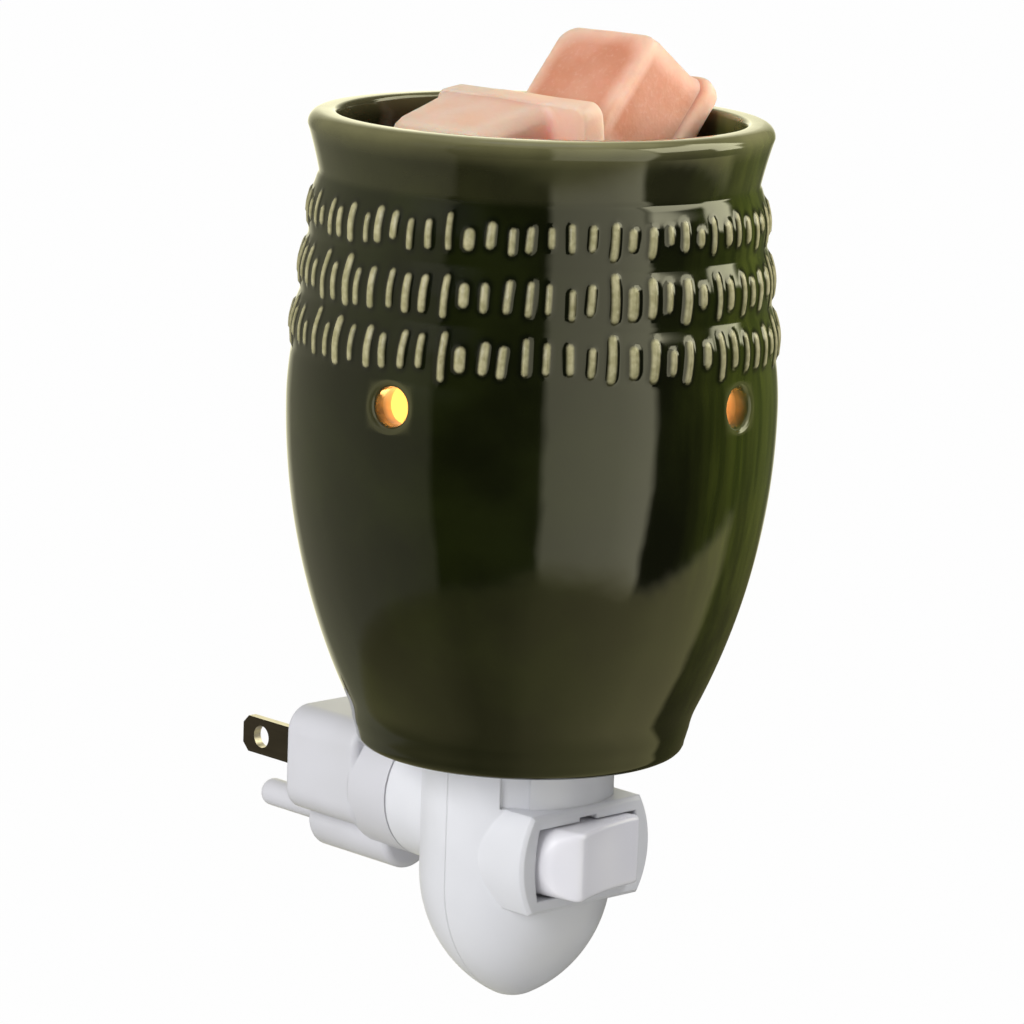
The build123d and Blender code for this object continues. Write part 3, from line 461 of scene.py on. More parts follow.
# rows of a profile that bound the square left open for the vents, and the loop of grid points round it
def ventLoop(profile):
    columns = shade["columns"]
    half = shade["ventHalfColumns"]
    low, high = shade["ventHeight"] - shade["ventHalfHeight"], shade["bandBase"]
    mouth = shade["rimRadius"] - shade["rimWidth"]
    away = np.where(profile[:, 0] > mouth, 0, shade["height"])     # keeps the dish's rows out
    rows = sorted([int(np.argmin(np.abs(profile[:, 1] - level) + away)) for level in (low, high)])
    across = np.arange(-half, half)
    up = np.arange(rows[0], rows[1])
    loopRows = np.concatenate([np.full(2 * half, rows[0]), up, np.full(2 * half, rows[1]), up[::-1] + 1])
    loopColumns = np.concatenate([across, np.full(len(up), half), -across, np.full(len(up), -half)])
    return rows, loopRows, loopColumns % columns


# both profiles turned round the axis, dashes raised on the bands, a sleeve through the wall at each vent
def buildShade(finish):
    columns, vents = shade["columns"], shade["vents"]
    angle = np.arange(columns) * 2 * math.pi / columns
    points, quads, dashMarks, insideMarks, thinAndSheenMarks = [], [], [], [], []
    loops = []
    total = 0
    for side, profile in enumerate((outerProfile(), innerProfile())):
        rows = len(profile)
        radius = np.repeat(profile[:, :1], columns, axis=1)
        height = np.repeat(profile[:, 1:], columns, axis=1)
        around = np.repeat(angle[None, :], rows, axis=0)
        distance = np.full((rows, columns), farAway)
        if side == 0:
            lowest = shade["bandBase"] - shade["bandReach"]
            onBand = (profile[:, 1] > lowest) & (profile[:, 1] < shade["neck"][1])
            onBand = onBand & (profile[:, 0] > shade["neck"][0] - shade["outsideSlack"])
            distance[onBand] = dashDistance(around[onBand], height[onBand])
            radius = radius + dashes["proud"] * smoothStep(-distance, *dashes["edge"])
        rowsOpen, loopRows, loopColumns = ventLoop(profile)
        grid = ringQuads(rows, columns, total)
        keep = np.ones((rows - 1, columns), bool)
        half = shade["ventHalfColumns"]
        for turn in range(vents):
            gap = (np.arange(-half, half) + turn * columns // vents) % columns
            keep[rowsOpen[0]:rowsOpen[1], gap] = False
        points.append(turnedPoints(radius, height, around).reshape(-1, 3))
        quads.append(grid[keep])
        dashMarks.append(distance.ravel())
        insideMarks.append(np.full(rows * columns, float(side)))
        # glaze paler where it runs thin on the rim and neck; along the rim the pale band also serves as a
        # painted highlight
        fromRim = np.hypot(height - shade["height"], radius - shade["rimMiddle"])
        rimEdge = np.exp(-(fromRim / shade["rimSpread"]) ** 2)
        neckRadius, neckLevel = shade["neck"]
        below, above = shade["neckFade"]
        onNeck = smoothStep(height, neckLevel - below, neckLevel + above)
        onNeck = onNeck * (radius > neckRadius - shade["neckSlack"])
        thinAndSheenMarks.append((np.maximum(rimEdge, shade["neckThin"] * onNeck) * (side == 0)).ravel())
        loops.append((radius[loopRows, 0], height[loopRows, 0], angle[loopColumns]))
        total += rows * columns

    # each vent is a sleeve: from the square gap outside to a round lip, through the wall, to the gap inside
    edges = []
    for radius, height, bearing in loops:
        across, up = radius * np.sin(bearing), height - shade["ventHeight"]
        order = np.argsort(np.arctan2(up, np.sin(bearing)))
        edges.append(np.stack([across, up], axis=1)[order])
    bearing = np.arctan2(edges[0][:, 1], edges[0][:, 0])
    circle = np.stack([np.cos(bearing), np.sin(bearing)], axis=1)
    rings, insideShare, thinAndSheen = [], [], []

    # a ring of points across and up, sunk below the outside and then carried a share of the way inward
    def addRing(flat, inside, thinness, sunk=0.0, inward=0.0):
        height = flat[:, 1] + shade["ventHeight"]
        outer = np.sqrt(outerRadius(height) ** 2 - flat[:, 0] ** 2) - sunk
        inner = np.sqrt(innerRadius(height) ** 2 - flat[:, 0] ** 2)
        rings.append(np.stack([flat[:, 0], outer * (1 - inward) + inner * inward, height], axis=1))
        insideShare.append(inside)
        thinAndSheen.append(thinness)

    hole, lip, thinLip = shade["ventRadius"], shade["ventLip"], shade["ventThin"]
    for share in np.linspace(0, 1, 6):
        addRing(edges[0] * (1 - share) + circle * (hole + lip) * share, 0.0, thinLip * share ** 3)
    for turn in np.radians(np.linspace(18, 90, 5)):
        rounded = circle * (hole + lip * (1 - math.sin(turn)))
        addRing(rounded, 0.0, thinLip, lip * (1 - math.cos(turn)))
    for share in (0.4, 0.7, 1.0):
        inside = smoothStep(np.array(share), *shade["ventFade"]).item()
        addRing(circle * hole, inside, thinLip * (1.0 - share), lip, share)
    for share in (0.5, 1.0):
        addRing(circle * hole * (1 - share) + edges[1] * share, 1.0, 0.0, inward=1.0)
    sheet = np.array(rings)
    steps, around = sheet.shape[:2]
    for turn in range(vents):
        heading = turn * (2 * math.pi / vents)
        radius = np.hypot(sheet[..., 0], sheet[..., 1])
        bearing = np.arctan2(sheet[..., 0], sheet[..., 1]) + heading
        points.append(turnedPoints(radius, sheet[..., 2], bearing).reshape(-1, 3))
        quads.append(ringQuads(steps, around, total).reshape(-1, 4))
        dashMarks.append(np.full(steps * around, farAway))
        insideMarks.append(np.repeat(insideShare, around))
        thinAndSheenMarks.append(np.repeat(thinAndSheen, around))
        total += steps * around
    marks = {
        "dash": np.concatenate(dashMarks),
        "inside": np.concatenate(insideMarks),
        "thinAndSheen": np.concatenate(thinAndSheenMarks),
    }
    return makePiece("glazedShade", np.concatenate(points), np.concatenate(quads), finish, "shade", marks)


# wax melts, tapered cakes broken from a tray; sizes in mm, places over the middle of the dish's floor
wax = {
    "taper": 1.7,
    "height": 18.0,
    "flange": 4.5,
    "corner": 3.0,
    "edge": 1.4,
    "cornerPale": 0.8,
    "rootFlare": 0.5,
    "sideFlare": 0.1,
    "plateShares": (0.0, 0.3, 0.6, 0.85),
    "flangeShares": (0.35, 0.7),
    "cakeLevels": (0.25, 0.8, 1.8, 3.6, 5.6, 7.6, 9.6, 11.2),
    "topShares": (0.75, 0.5, 0.25, 0.0),
    "swell": 0.16,
    "swellLength": 18.0,
    "ripple": 0.05,
    "rippleLength": 5.0,
    "waves": 7,
    "waveSpread": (0.6, 1.5),
    "wavePhases": (0, 6.3),
    "shrink": 0.08,
    "sharpAngle": 60,
    "left": {
        "size": (25.2, 19.7), "web": 7.3, "lip": 0.6, "flangeCorner": 2.4, "place": (-0.7, 5.1, 11.3),
        "yaw": 2.4, "pitch": -7.8, "seed": 3, "tone": 0.0,
    },
    "right": {
        "size": (23.2, 26.5), "web": 0.0, "lip": 1.4, "flangeCorner": 3.0, "place": (22.3, 3.4, 10.26),
        "yaw": 7.9, "pitch": 44.6, "seed": 8, "tone": 1.0,
    },
}
cornerPoints = 9         # points round each corner of a rounded rectangle
edgePoints = 7           # extra points along each side of a melt's loops
fullestCorner = 0.98     # most of a half width that a corner's round takes up


# rounded rectangle walked round by its corners, the same number of points whatever its size
def roundedRectangle(halfX, halfY, corner, perCorner=cornerPoints):
    turn = np.radians(np.linspace(0, 90, perCorner))
    quarters = np.radians([0, 90, 180, 270])
    angle = (quarters[:, None] + turn[None, :]).ravel()
    middleX = np.repeat(np.array([1, -1, -1, 1]) * (halfX - corner), perCorner)
    middleY = np.repeat(np.array([1, 1, -1, -1]) * (halfY - corner), perCorner)
    return np.stack([middleX + corner * np.cos(angle), middleY + corner * np.sin(angle)], axis=1)


# the same loop with extra points along its straight sides
def fillSides(loop, perCorner=cornerPoints, perSide=edgePoints):
    corners = loop.reshape(4, perCorner, 2)
    share = np.linspace(0, 1, perSide + 2)[1:-1, None]
    following = np.roll(corners, -1, axis=0)
    sides = corners[:, -1:, :] * (1 - share) + following[:, :1, :] * share
    return np.concatenate([corners, sides], axis=1).reshape(-1, 2)


# slow uneven swell: a few sine waves in different directions added together
def swell(points, wavelength, seed):
    dice = np.random.default_rng(seed)
    count = wax["waves"]
    waves = dice.normal(size=(count, 3))
    lengths = np.linalg.norm(waves, axis=1)[:, None]
    waves *= 2 * math.pi / wavelength * dice.uniform(*wax["waveSpread"], count)[:, None] / lengths
    return np.sin(points @ waves.T + dice.uniform(*wax["wavePhases"], count)).mean(axis=-1)


# rounded rectangles stacked from the plate to the top, swollen a little and laid in the dish
def buildMelt(name, melt, finish, body, node):
    lip, corner, edge = melt["lip"], wax["corner"], wax["edge"]
    flange, tall = wax["flange"], wax["height"]
    broad, deep = melt["size"]
    rows, paleMarks = [], []
    atCorner = np.tile(np.repeat([wax["cornerPale"], 0.0], [cornerPoints, edgePoints]), 4)

    # edges and corners are marked pale, since light comes through them
    def addRow(halfX, halfY, up, offset, turned, pale, cornerPale=1.0):
        turned = min(turned, halfX * fullestCorner, halfY * fullestCorner)
        loop = fillSides(roundedRectangle(halfX, halfY, turned))
        rows.append(np.column_stack([loop[:, 0] + offset, loop[:, 1], np.full(len(loop), up)]))
        paleMarks.append(np.maximum(pale, atCorner * cornerPale))

    plateX, plateY = broad / 2 + lip + melt["web"] / 2, deep / 2 + lip
    middle = melt["web"] / 2
    sharp = melt["flangeCorner"]
    bend = min(edge, lip)
    for share in wax["plateShares"]:
        addRow((plateX - bend) * share, (plateY - bend) * share, 0, middle, sharp, 0.0, 0.0)
    for turn in np.radians(np.linspace(0, 90, 5)):
        inset = bend * (1 - math.sin(turn))
        addRow(plateX - inset, plateY - inset, bend * (1 - math.cos(turn)), middle, sharp, 0.6)
    for turn in np.radians(np.linspace(0, 90, 5)):
        inset = bend * (1 - math.cos(turn))
        addRow(plateX - inset, plateY - inset, flange - bend + bend * math.sin(turn), middle, sharp, 0.9)
    slope = wax["taper"] / (tall - flange)
    flare = wax["rootFlare"]
    for share in wax["flangeShares"]:
        x = (plateX - bend) * (1 - share) + (broad / 2 + flare) * share
        y = (plateY - bend) * (1 - share) + (deep / 2 + wax["sideFlare"]) * share
        addRow(x, y, flange, middle * (1 - share), corner, 0.3, 0.4)
    for up in wax["cakeLevels"]:
        inset = slope * up - flare * math.exp(-up / flare)
        addRow(broad / 2 - inset, deep / 2 - inset, flange + up, 0, corner, 0.0)
    for turn in np.radians(np.linspace(0, 90, 6)):
        inset = wax["taper"] + edge * (1 - math.cos(turn))
        addRow(broad / 2 - inset, deep / 2 - inset, tall - edge + edge * math.sin(turn), 0, corner, 1.0)
    end = wax["taper"] + edge
    for share in wax["topShares"]:
        addRow((broad / 2 - end) * share, (deep / 2 - end) * share, tall, 0, corner, 0.0, 0.0)
    sheet = np.array(rows)
    core = np.array([middle, 0, tall / 2])
    outward = sheet - core
    outward /= np.linalg.norm(outward, axis=-1, keepdims=True)
    uneven = wax["swell"] * swell(sheet, wax["swellLength"], melt["seed"])
    uneven = uneven + wax["ripple"] * swell(sheet, wax["rippleLength"], melt["seed"] + 1) - wax["shrink"]
    sheet = sheet + outward * uneven[..., None]
    turn, rise = math.radians(melt["yaw"]), math.radians(melt["pitch"])
    across = np.array([math.sin(turn), -math.cos(turn), 0])
    out = np.array([-math.cos(rise) * math.cos(turn), -math.cos(rise) * math.sin(turn), math.sin(rise)])
    side = np.cross(out, across)
    dishFloor = shade["footLevel"] + shade["height"] - shade["dishDepth"]
    start = np.array(melt["place"]) + np.array([0, lampAxisY, dishFloor])
    points = start + sheet[..., :1] * across + sheet[..., 1:2] * side + sheet[..., 2:] * out
    points = points.reshape(-1, 3)
    quads = ringQuads(sheet.shape[0], sheet.shape[1])
    marks = {"tone": np.full(len(points), melt["tone"]), "pale": np.concatenate(paleMarks)}
    piece = makePiece(name, points, quads, finish, body, marks, wax["sharpAngle"])
    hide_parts(node)
    return piece


# switch rocker in its own frame, mm: along its length, up, and out of the switch
rocker = {
    "pivot": (0.0, -57.8, -3.45),
    "tilt": 12.0,
    "halfLength": 9.45,
    "halfHeight": 5.75,
    "bow": 2.0,
    "corner": 1.6,
    "edge": 0.75,
    "crest": 8.3,
    "top": 8.8,
    "dip": 0.9,
    "softness": 0.6,
    "shoulder": 3.2,
    "skirt": 0.9,
    "hub": -1.5,
    "hubHalf": 3.0,
    "boreRadius": 1.15,
    "boreEnd": 3.2,
    "pinRadius": 1.2,
    "pinLength": 1.6,
    "pinSunk": 0.3,
    "pinSides": 32,
}


# how far out the front stands: the softened least of a hollow top and two sloping ends
def rockerFront(along):
    end = rocker["halfLength"] + rocker["bow"]
    slope = (rocker["top"] - rocker["shoulder"]) / (end - rocker["crest"])
    top = rocker["top"] - rocker["dip"] * (1 - (along / rocker["crest"]) ** 2)
    left = rocker["shoulder"] + slope * (end + along)
    right = rocker["shoulder"] + slope * (end - along)
    weights = np.exp(-np.stack([top, left, right]) / rocker["softness"])
    return -rocker["softness"] * np.log(weights.sum(axis=0))


# how far out the back stands: straight from the skirt at each end to the hub
def rockerBack(along):
    end = rocker["halfLength"] + rocker["bow"]
    return np.interp(np.abs(along), [rocker["hubHalf"], end], [rocker["hub"], rocker["skirt"]])


# rounded rectangle whose ends bow out by a parabola
def rockerOutline(inset):
    half, tall = rocker["halfLength"], rocker["halfHeight"]
    loop = fillSides(roundedRectangle(half - inset, tall - inset, rocker["corner"]), perSide=23)
    loop[:, 0] *= 1 + rocker["bow"] / half * (1 - (loop[:, 1] / tall) ** 2)
    return loop


# loops from the middle of the front, over the rounded edge, down the skirt, across the back and up the bore
def buildRocker(finish):
    edge = rocker["edge"]
    rows = []

    def addRow(loop, out):
        rows.append(np.column_stack([loop, np.broadcast_to(out, len(loop))]))

    front, full = rockerOutline(edge), rockerOutline(0)
    for share in np.linspace(0, 1, 41):
        addRow(front * share, rockerFront(front[:, 0] * share))
    for turn in np.radians(np.linspace(15, 90, 6)):
        loop = rockerOutline(edge * (1 - math.sin(turn)))
        addRow(loop, rockerFront(loop[:, 0]) - edge * (1 - math.cos(turn)))
    high, low = rockerFront(full[:, 0]) - edge, rockerBack(full[:, 0])
    for share in (0.35, 0.7, 1.0):
        addRow(full, high * (1 - share) + low * share)
    for share in (0.8, 0.6, 0.4):
        addRow(full * share, rockerBack(full[:, 0] * share))
    bore = full / np.linalg.norm(full, axis=1, keepdims=True) * rocker["boreRadius"]
    for share, out in ((1, rocker["hub"]), (1, rocker["boreEnd"]), (0, rocker["boreEnd"])):
        addRow(bore * share, out)
    shell = np.array(rows)

    # a pin above and below, each a capped cylinder sunk a little into the rocker
    sides = rocker["pinSides"]
    turn = np.linspace(0, 2 * math.pi, sides + 1)[:-1]
    ring = rocker["pinRadius"] * np.stack([np.cos(turn), np.sin(turn)], axis=1)
    sunk, tip = rocker["halfHeight"] - rocker["pinSunk"], rocker["halfHeight"] + rocker["pinLength"]
    pin = np.array([
        np.column_stack([ring[:, 0] * share, np.full(sides, up), ring[:, 1] * share])
        for share, up in ((0, sunk), (1, sunk), (1, tip), (0, tip))
    ])
    local = np.concatenate([part.reshape(-1, 3) for part in (shell, pin, pin * np.array([1, -1, 1]))])
    quads = [ringQuads(*shell.shape[:2]).reshape(-1, 4)]
    for first in (shell.size // 3, (shell.size + pin.size) // 3):
        quads.append(ringQuads(len(pin), sides, first).reshape(-1, 4))
    tilt = math.radians(rocker["tilt"])
    axes = np.array([[math.cos(tilt), math.sin(tilt), 0], [0, 0, 1], [math.sin(tilt), -math.cos(tilt), 0]])
    points = np.array(rocker["pivot"]) + local @ axes
    return makePiece("softRocker", points, np.concatenate(quads), finish, "rocker", {})


# colours in pairs that a cloud or a grain mixes; the painted lit side, a paler green standing in for light
# from that side, faces the way given, from so many mm out
glazeLook = {
    "dark": ((14, 17, 4), (26, 31, 8)),
    "litSide": ((58, 69, 17), (88, 98, 34)),
    "litSideWay": (0.72, -0.69, 0),
    "litSideReach": (27, 50),
    "streakReach": 12,
    # pale colour of thin glaze, also a painted highlight along the rim
    "thinAndSheen": (146, 142, 98),
    "dashFootDark": (6, 9, 4),
    "dash": ((152, 147, 106), (182, 175, 136)),
    "clay": ((236, 216, 184), (220, 196, 162)),
    "gloss": 0.045,
    "bumpDepth": 0.00008,
}


# dark green glaze with one side painted paler as painted light, thin and paler on edges with a painted
# highlight along the rim, darker round the dashes, pale raised dashes, bare clay inside
def glazeFinish():
    glaze = Finish("greenGlaze", {"IOR": 1.55})
    cloud = glaze.noise(0.055, 4.0)
    speck = glaze.noise(0.9, 2.0)
    body = glaze.shades(glaze.ramp(cloud, 0.35, 0.7), glazeLook["dark"])
    # painted light: the glaze turns a paler green towards one side, standing in for light falling there
    litSideWay = glazeLook["litSideWay"]
    inputs = {0: glaze.place(), 1: litSideWay}
    aside = glaze.node("ShaderNodeVectorMath", {"operation": "DOT_PRODUCT"}, inputs, "Value")
    aside = aside - lampAxisY * litSideWay[1]
    streak = glaze.noise(0.16, 5.0, (1, 1, 0.2))
    fine = glaze.noise(0.42, 2.0, (1, 1, 0.07))
    litSide = glaze.shades(glaze.ramp(fine, 0.3, 0.7), glazeLook["litSide"])
    streaked = aside + streak * glazeLook["streakReach"]
    body = glaze.blend(glaze.ramp(streaked, *glazeLook["litSideReach"]), body, litSide)
    # paler thin glaze on the rim, neck and vent edges, and along the rim a painted highlight
    thinAndSheen = glaze.mark("thinAndSheen") * glaze.ramp(cloud, 0.3, 0.7, 0.6, 0.95)
    body = glaze.blend(thinAndSheen, body, paint(*glazeLook["thinAndSheen"]))
    distance = glaze.mark("dash")
    # darker green round the foot of each raised dash
    dashFootDark = glaze.ramp(distance, 0.0, 1.1, 0.75, 0.0)
    body = glaze.blend(dashFootDark, body, paint(*glazeLook["dashFootDark"]))
    pale = glaze.shades(glaze.ramp(speck, 0.3, 0.7), glazeLook["dash"])
    body = glaze.blend(glaze.ramp(distance, 0.06, -0.5), body, pale)
    inside = glaze.mark("inside")
    clay = glaze.shades(glaze.ramp(cloud, 0.3, 0.7), glazeLook["clay"])
    glaze.feed("Base Color", glaze.blend(inside, body, clay))
    glossy = glazeLook["gloss"] + 0.05 * cloud + glaze.ramp(distance, 0.0, -0.4, 0.0, 0.16)
    glaze.feed("Roughness", glossy + inside * 0.7)
    glaze.feed("Normal", glaze.bump(glaze.noise(0.11, 1.5) + inside * 0.4 * speck, glazeLook["bumpDepth"]))
    return glaze


# colours as for the glaze; light reaches so many metres into the wax
waxLook = {
    "light": ((245, 192, 166), (248, 205, 186)),
    "strong": ((214, 146, 115), (223, 162, 135)),
    "scuffed": (246, 220, 206),
    "edge": (248, 208, 187),
    "lightReach": 0.009,
    "lightShare": 0.85,
    "bumpDepth": 0.00018,
}


# peach wax, cloudy and a little scuffed, paler where light comes through its edges
def waxFinish():
    peach = Finish("peachWax", {
        "Subsurface Weight": waxLook["lightShare"],
        "Subsurface Radius": (1.0, 0.45, 0.28),
        "Subsurface Scale": waxLook["lightReach"],
        "IOR": 1.44,
    })
    cloud = peach.noise(0.12, 4.0)
    grain = peach.noise(1.4, 3.0)
    cloudy = peach.ramp(cloud, 0.32, 0.68)
    light = peach.shades(cloudy, waxLook["light"])
    strong = peach.shades(cloudy, waxLook["strong"])
    body = peach.blend(peach.mark("tone"), light, strong)
    scuffed = peach.ramp(grain, 0.5, 0.8, 0.0, 0.16)
    body = peach.blend(scuffed, body, paint(*waxLook["scuffed"]))
    edges = peach.mark("pale") * peach.ramp(cloud, 0.2, 0.6, 0.35, 0.8)
    peach.feed("Base Color", peach.blend(edges, body, paint(*waxLook["edge"])))
    peach.feed("Roughness", 0.3 + 0.25 * cloud + 0.1 * grain)
    peach.feed("Normal", peach.bump(cloud * 1.5 + grain * 0.35, waxLook["bumpDepth"]))
    return peach


# moulded plastic, faintly cloudy, with a fine grain and, where rounding is given, softened edges
def plasticFinish(name, colours, rough, grainDepth, rounding=0.0):
    plastic = Finish(name, {"IOR": 1.46})
    cloud = plastic.noise(0.06, 2.0)
    grain = plastic.noise(5.0, 2.0)
    plastic.feed("Base Color", plastic.shades(plastic.ramp(cloud, 0.3, 0.7), colours))
    plastic.feed("Roughness", rough + 0.12 * grain + 0.05 * cloud)
    moulded = plastic.node("ShaderNodeBevel", {"samples": 6}, {"Radius": rounding}) if rounding else None
    plastic.feed("Normal", plastic.bump(grain, grainDepth, moulded))
    return plastic


drawnDepth = 0.00002     # depth of the streaks that drawing leaves in metal, m


# drawn or stamped metal, streaked one way
def metalFinish(name, colours, rough, stretch):
    metal = Finish(name, {"Metallic": 1.0})
    streak = metal.noise(1.2, 4.0, stretch)
    stain = metal.noise(0.15, 3.0)
    metal.feed("Base Color", metal.shades(metal.ramp(stain, 0.35, 0.75), colours))
    metal.feed("Roughness", rough + 0.18 * streak)
    metal.feed("Normal", metal.bump(streak, drawnDepth))
    return metal


bladeLook = {"face": ((62, 56, 52), (86, 79, 73)), "edge": ((226, 220, 208), (206, 198, 184))}


# a stamped strip: polished faces that look sideways, painted dark as a painted reflection, and pale sheared
# edges all round and in the hole
def bladeFinish():
    blade = Finish("stampedBlade", {"Metallic": 1.0})
    facing = blade.node("ShaderNodeTexCoord", {}, {}, "Normal")
    inputs = {0: facing, 1: (1, 0, 0)}
    sideways = blade.node("ShaderNodeVectorMath", {"operation": "DOT_PRODUCT"}, inputs, "Value")
    # faces turned sideways take the dark colour, a painted reflection; the rest take the pale edge colour
    flat = blade.ramp(sideways * sideways, 0.3, 0.8)
    streak = blade.noise(1.2, 4.0, (1, 0.08, 1))
    face = blade.shades(streak, bladeLook["face"])
    edge = blade.shades(streak, bladeLook["edge"])
    blade.feed("Base Color", blade.blend(flat, edge, face))
    blade.feed("Roughness", 0.42 - 0.28 * flat + 0.12 * streak)
    blade.feed("Normal", blade.bump(streak, drawnDepth))
    return blade


lampLook = {
    "glow": 12.0,
    "glass": ((255, 240, 214), (250, 228, 190)),
    "glassGlow": ((255, 212, 138), (255, 198, 112)),
    "wire": ((120, 110, 100), (90, 84, 80)),
    "wireGlow": ((255, 206, 130), (255, 180, 96)),
}


# frosted glass of the lit lamp
def lampGlassFinish():
    glass = Finish("litLampGlass", {"Emission Strength": lampLook["glow"], "IOR": 1.5})
    cloud = glass.noise(0.08, 2.0)
    glass.feed("Base Color", glass.shades(cloud, lampLook["glass"]))
    glass.feed("Emission Color", glass.shades(glass.ramp(cloud, 0.2, 0.8), lampLook["glassGlow"]))
    glass.feed("Roughness", 0.12 + 0.1 * cloud)
    return glass


# the lamp's glowing wire
def filamentFinish():
    glow = Finish("glowingWire", {"Emission Strength": lampLook["glow"]})
    cloud = glow.noise(0.5, 2.0)
    glow.feed("Base Color", glow.shades(cloud, lampLook["wire"]))
    glow.feed("Emission Color", glow.shades(cloud, lampLook["wireGlow"]))
    glow.feed("Roughness", 0.4 + 0.2 * cloud)
    return glow


fineGrain = 0.00001     # depth of the plastics' grain, m
softEdge = 0.0005       # rounding that moulding leaves on the white plastics' edges, m
finishes = {
    "glaze": glazeFinish(),
    "wax": waxFinish(),
    "white_plastic": plasticFinish(
        "whitePlastic", ((230, 231, 236), (224, 225, 230)), 0.3, fineGrain, softEdge,
    ),
    "dark_plastic": plasticFinish("darkPlastic", ((44, 40, 38), (34, 31, 30)), 0.45, 2 * fineGrain),
    "steel": metalFinish("plainSteel", ((178, 176, 172), (150, 147, 142)), 0.26, (1, 1, 0.1)),
    "nickel": metalFinish("nickelPlate", ((172, 168, 160), (150, 145, 136)), 0.1, (1, 0.08, 1)),
    "brass": metalFinish("brass", ((214, 178, 98), (182, 146, 76)), 0.22, (1, 1, 0.15)),
    "copper": metalFinish("copper", ((206, 134, 96), (170, 100, 68)), 0.25, (1, 0.2, 1)),
    "black_wire": plasticFinish("blackWire", ((30, 29, 28), (22, 21, 21)), 0.4, fineGrain),
    "white_wire": plasticFinish("whiteWire", ((214, 212, 206), (202, 199, 192)), 0.4, fineGrain),
    "lamp_glass": lampGlassFinish(),
    "filament": filamentFinish(),
}
print("finishes made:", len(finishes))

shadePiece = buildShade(finishes["glaze"])
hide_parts("ceramic_shade")
print("shade built,", len(shadePiece.data.polygons), "faces")

leftMelt = buildMelt("leftMelt", wax["left"], finishes["wax"], "left_melt", "wax_left")
rightMelt = buildMelt("rightMelt", wax["right"], finishes["wax"], "right_melt", "wax_right")
print("melts built,", len(leftMelt.data.polygons) + len(rightMelt.data.polygons), "faces")

rockerPlastic = plasticFinish("rockerPlastic", ((246, 245, 250), (240, 239, 246)), 0.16, fineGrain)
rockerPiece = buildRocker(rockerPlastic)
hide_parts("switch_rocker")
print("rocker built,", len(rockerPiece.data.polygons), "faces")

# every other piece keeps its CAD shape and takes the finish named in the record
for entry in frame["record"]["subparts"]:
    piece = nodes[entry["node"]]
    piece.data.materials.clear()
    piece.data.materials.append(finishes[entry["material_slot"]].material)
stamped = bladeFinish()
plugColours = ((216, 216, 222), (210, 210, 215))
plugPlastic = plasticFinish("plugPlastic", plugColours, 0.3, fineGrain, softEdge)
ownFinish = {
    "blade_line": stamped,
    "blade_neutral": stamped,
    "plug_body": plugPlastic,
    "plug_face": plugPlastic,
}
for node, finish in ownFinish.items():
    nodes[node].data.materials[0] = finish.material
print("finishes given to", len(nodes), "pieces")

# where the photo was taken from: angles in degrees, mm, and the picture's own pixels
camera = {
    "target": (0.0, lampAxisY, 62.5),
    "azimuth": -43.89,
    "elevation": 10.38,
    "distance": 772.56,
    "roll": 2.02,
    "focalPixels": 4725.15,
    "axisPixel": (530.34, 443.85),
    "pictureSize": 1024,
}


# camera at its bearing and tilt from the target, aimed so that the target falls on its own pixel
def placeCamera():
    azimuth, elevation = math.radians(camera["azimuth"]), math.radians(camera["elevation"])
    roll = math.radians(camera["roll"])
    back = Vector((math.sin(azimuth) * math.cos(elevation), -math.cos(azimuth) * math.cos(elevation),
                   math.sin(elevation)))
    right = Vector((math.cos(azimuth), math.sin(azimuth), 0))
    up = back.cross(right)
    toRight = camera["pictureSize"] / 2 - camera["axisPixel"][0]
    toTop = camera["axisPixel"][1] - camera["pictureSize"] / 2
    across = toRight * math.cos(roll) - toTop * math.sin(roll)
    above = toRight * math.sin(roll) + toTop * math.cos(roll)
    view = (-back * camera["focalPixels"] + right * across + up * above).normalized()
    level = view.cross(Vector((0, 0, 1))).normalized()
    turned = Matrix((level, level.cross(view), -view)).transposed().to_4x4()
    lens = bpy.data.cameras.new("photoCamera")
    lens.sensor_width = 36.0
    lens.lens = camera["focalPixels"] / camera["pictureSize"] * lens.sensor_width
    lens.clip_end = 50
    holder = bpy.data.objects.new("photoCamera", lens)
    spot = (Vector(camera["target"]) + back * camera["distance"]) * mm
    holder.matrix_world = Matrix.Translation(spot) @ turned @ Matrix.Rotation(roll, 4, "Z")
    bpy.context.scene.collection.objects.link(holder)
    bpy.context.scene.camera = holder


placeCamera()

# studio in metres; bearings go in degrees round the warmer, from the camera towards the picture's right
studio = {
    "middle": (0.0, lampAxisY * mm, 0.06),
    "waxMiddle": (0.008, -0.042, 0.135),
    "floorLevel": -0.9,
    "floorRadius": 60.0,
    "floorSides": 64,
    "floorWhite": 0.985,
    "skyStrength": 0.38,
    "surroundReach": 0.8,
    "lamps": {
        "keyLamp": {
            "aim": "middle", "bearing": -50, "height": 22, "reach": 1.0, "size": 0.55, "power": 6.9,
            "mirrored": True,
        },
        "sideLamp": {
            "aim": "waxMiddle", "bearing": 92, "height": 8, "reach": 0.15, "size": 0.08, "power": 0.22,
            "mirrored": False,
        },
        "fillLamp": {
            "aim": "middle", "bearing": -10, "height": -20, "reach": 1.1, "size": 0.8, "power": 1.5,
            "mirrored": True,
        },
    },
}


# point at a bearing, a height and a reach from a middle
def bearingPoint(middle, bearing, height, reach):
    heading = math.radians(camera["azimuth"] + bearing)
    rise = math.radians(height)
    way = Vector((math.sin(heading) * math.cos(rise), -math.cos(heading) * math.cos(rise), math.sin(rise)))
    return middle + way * reach


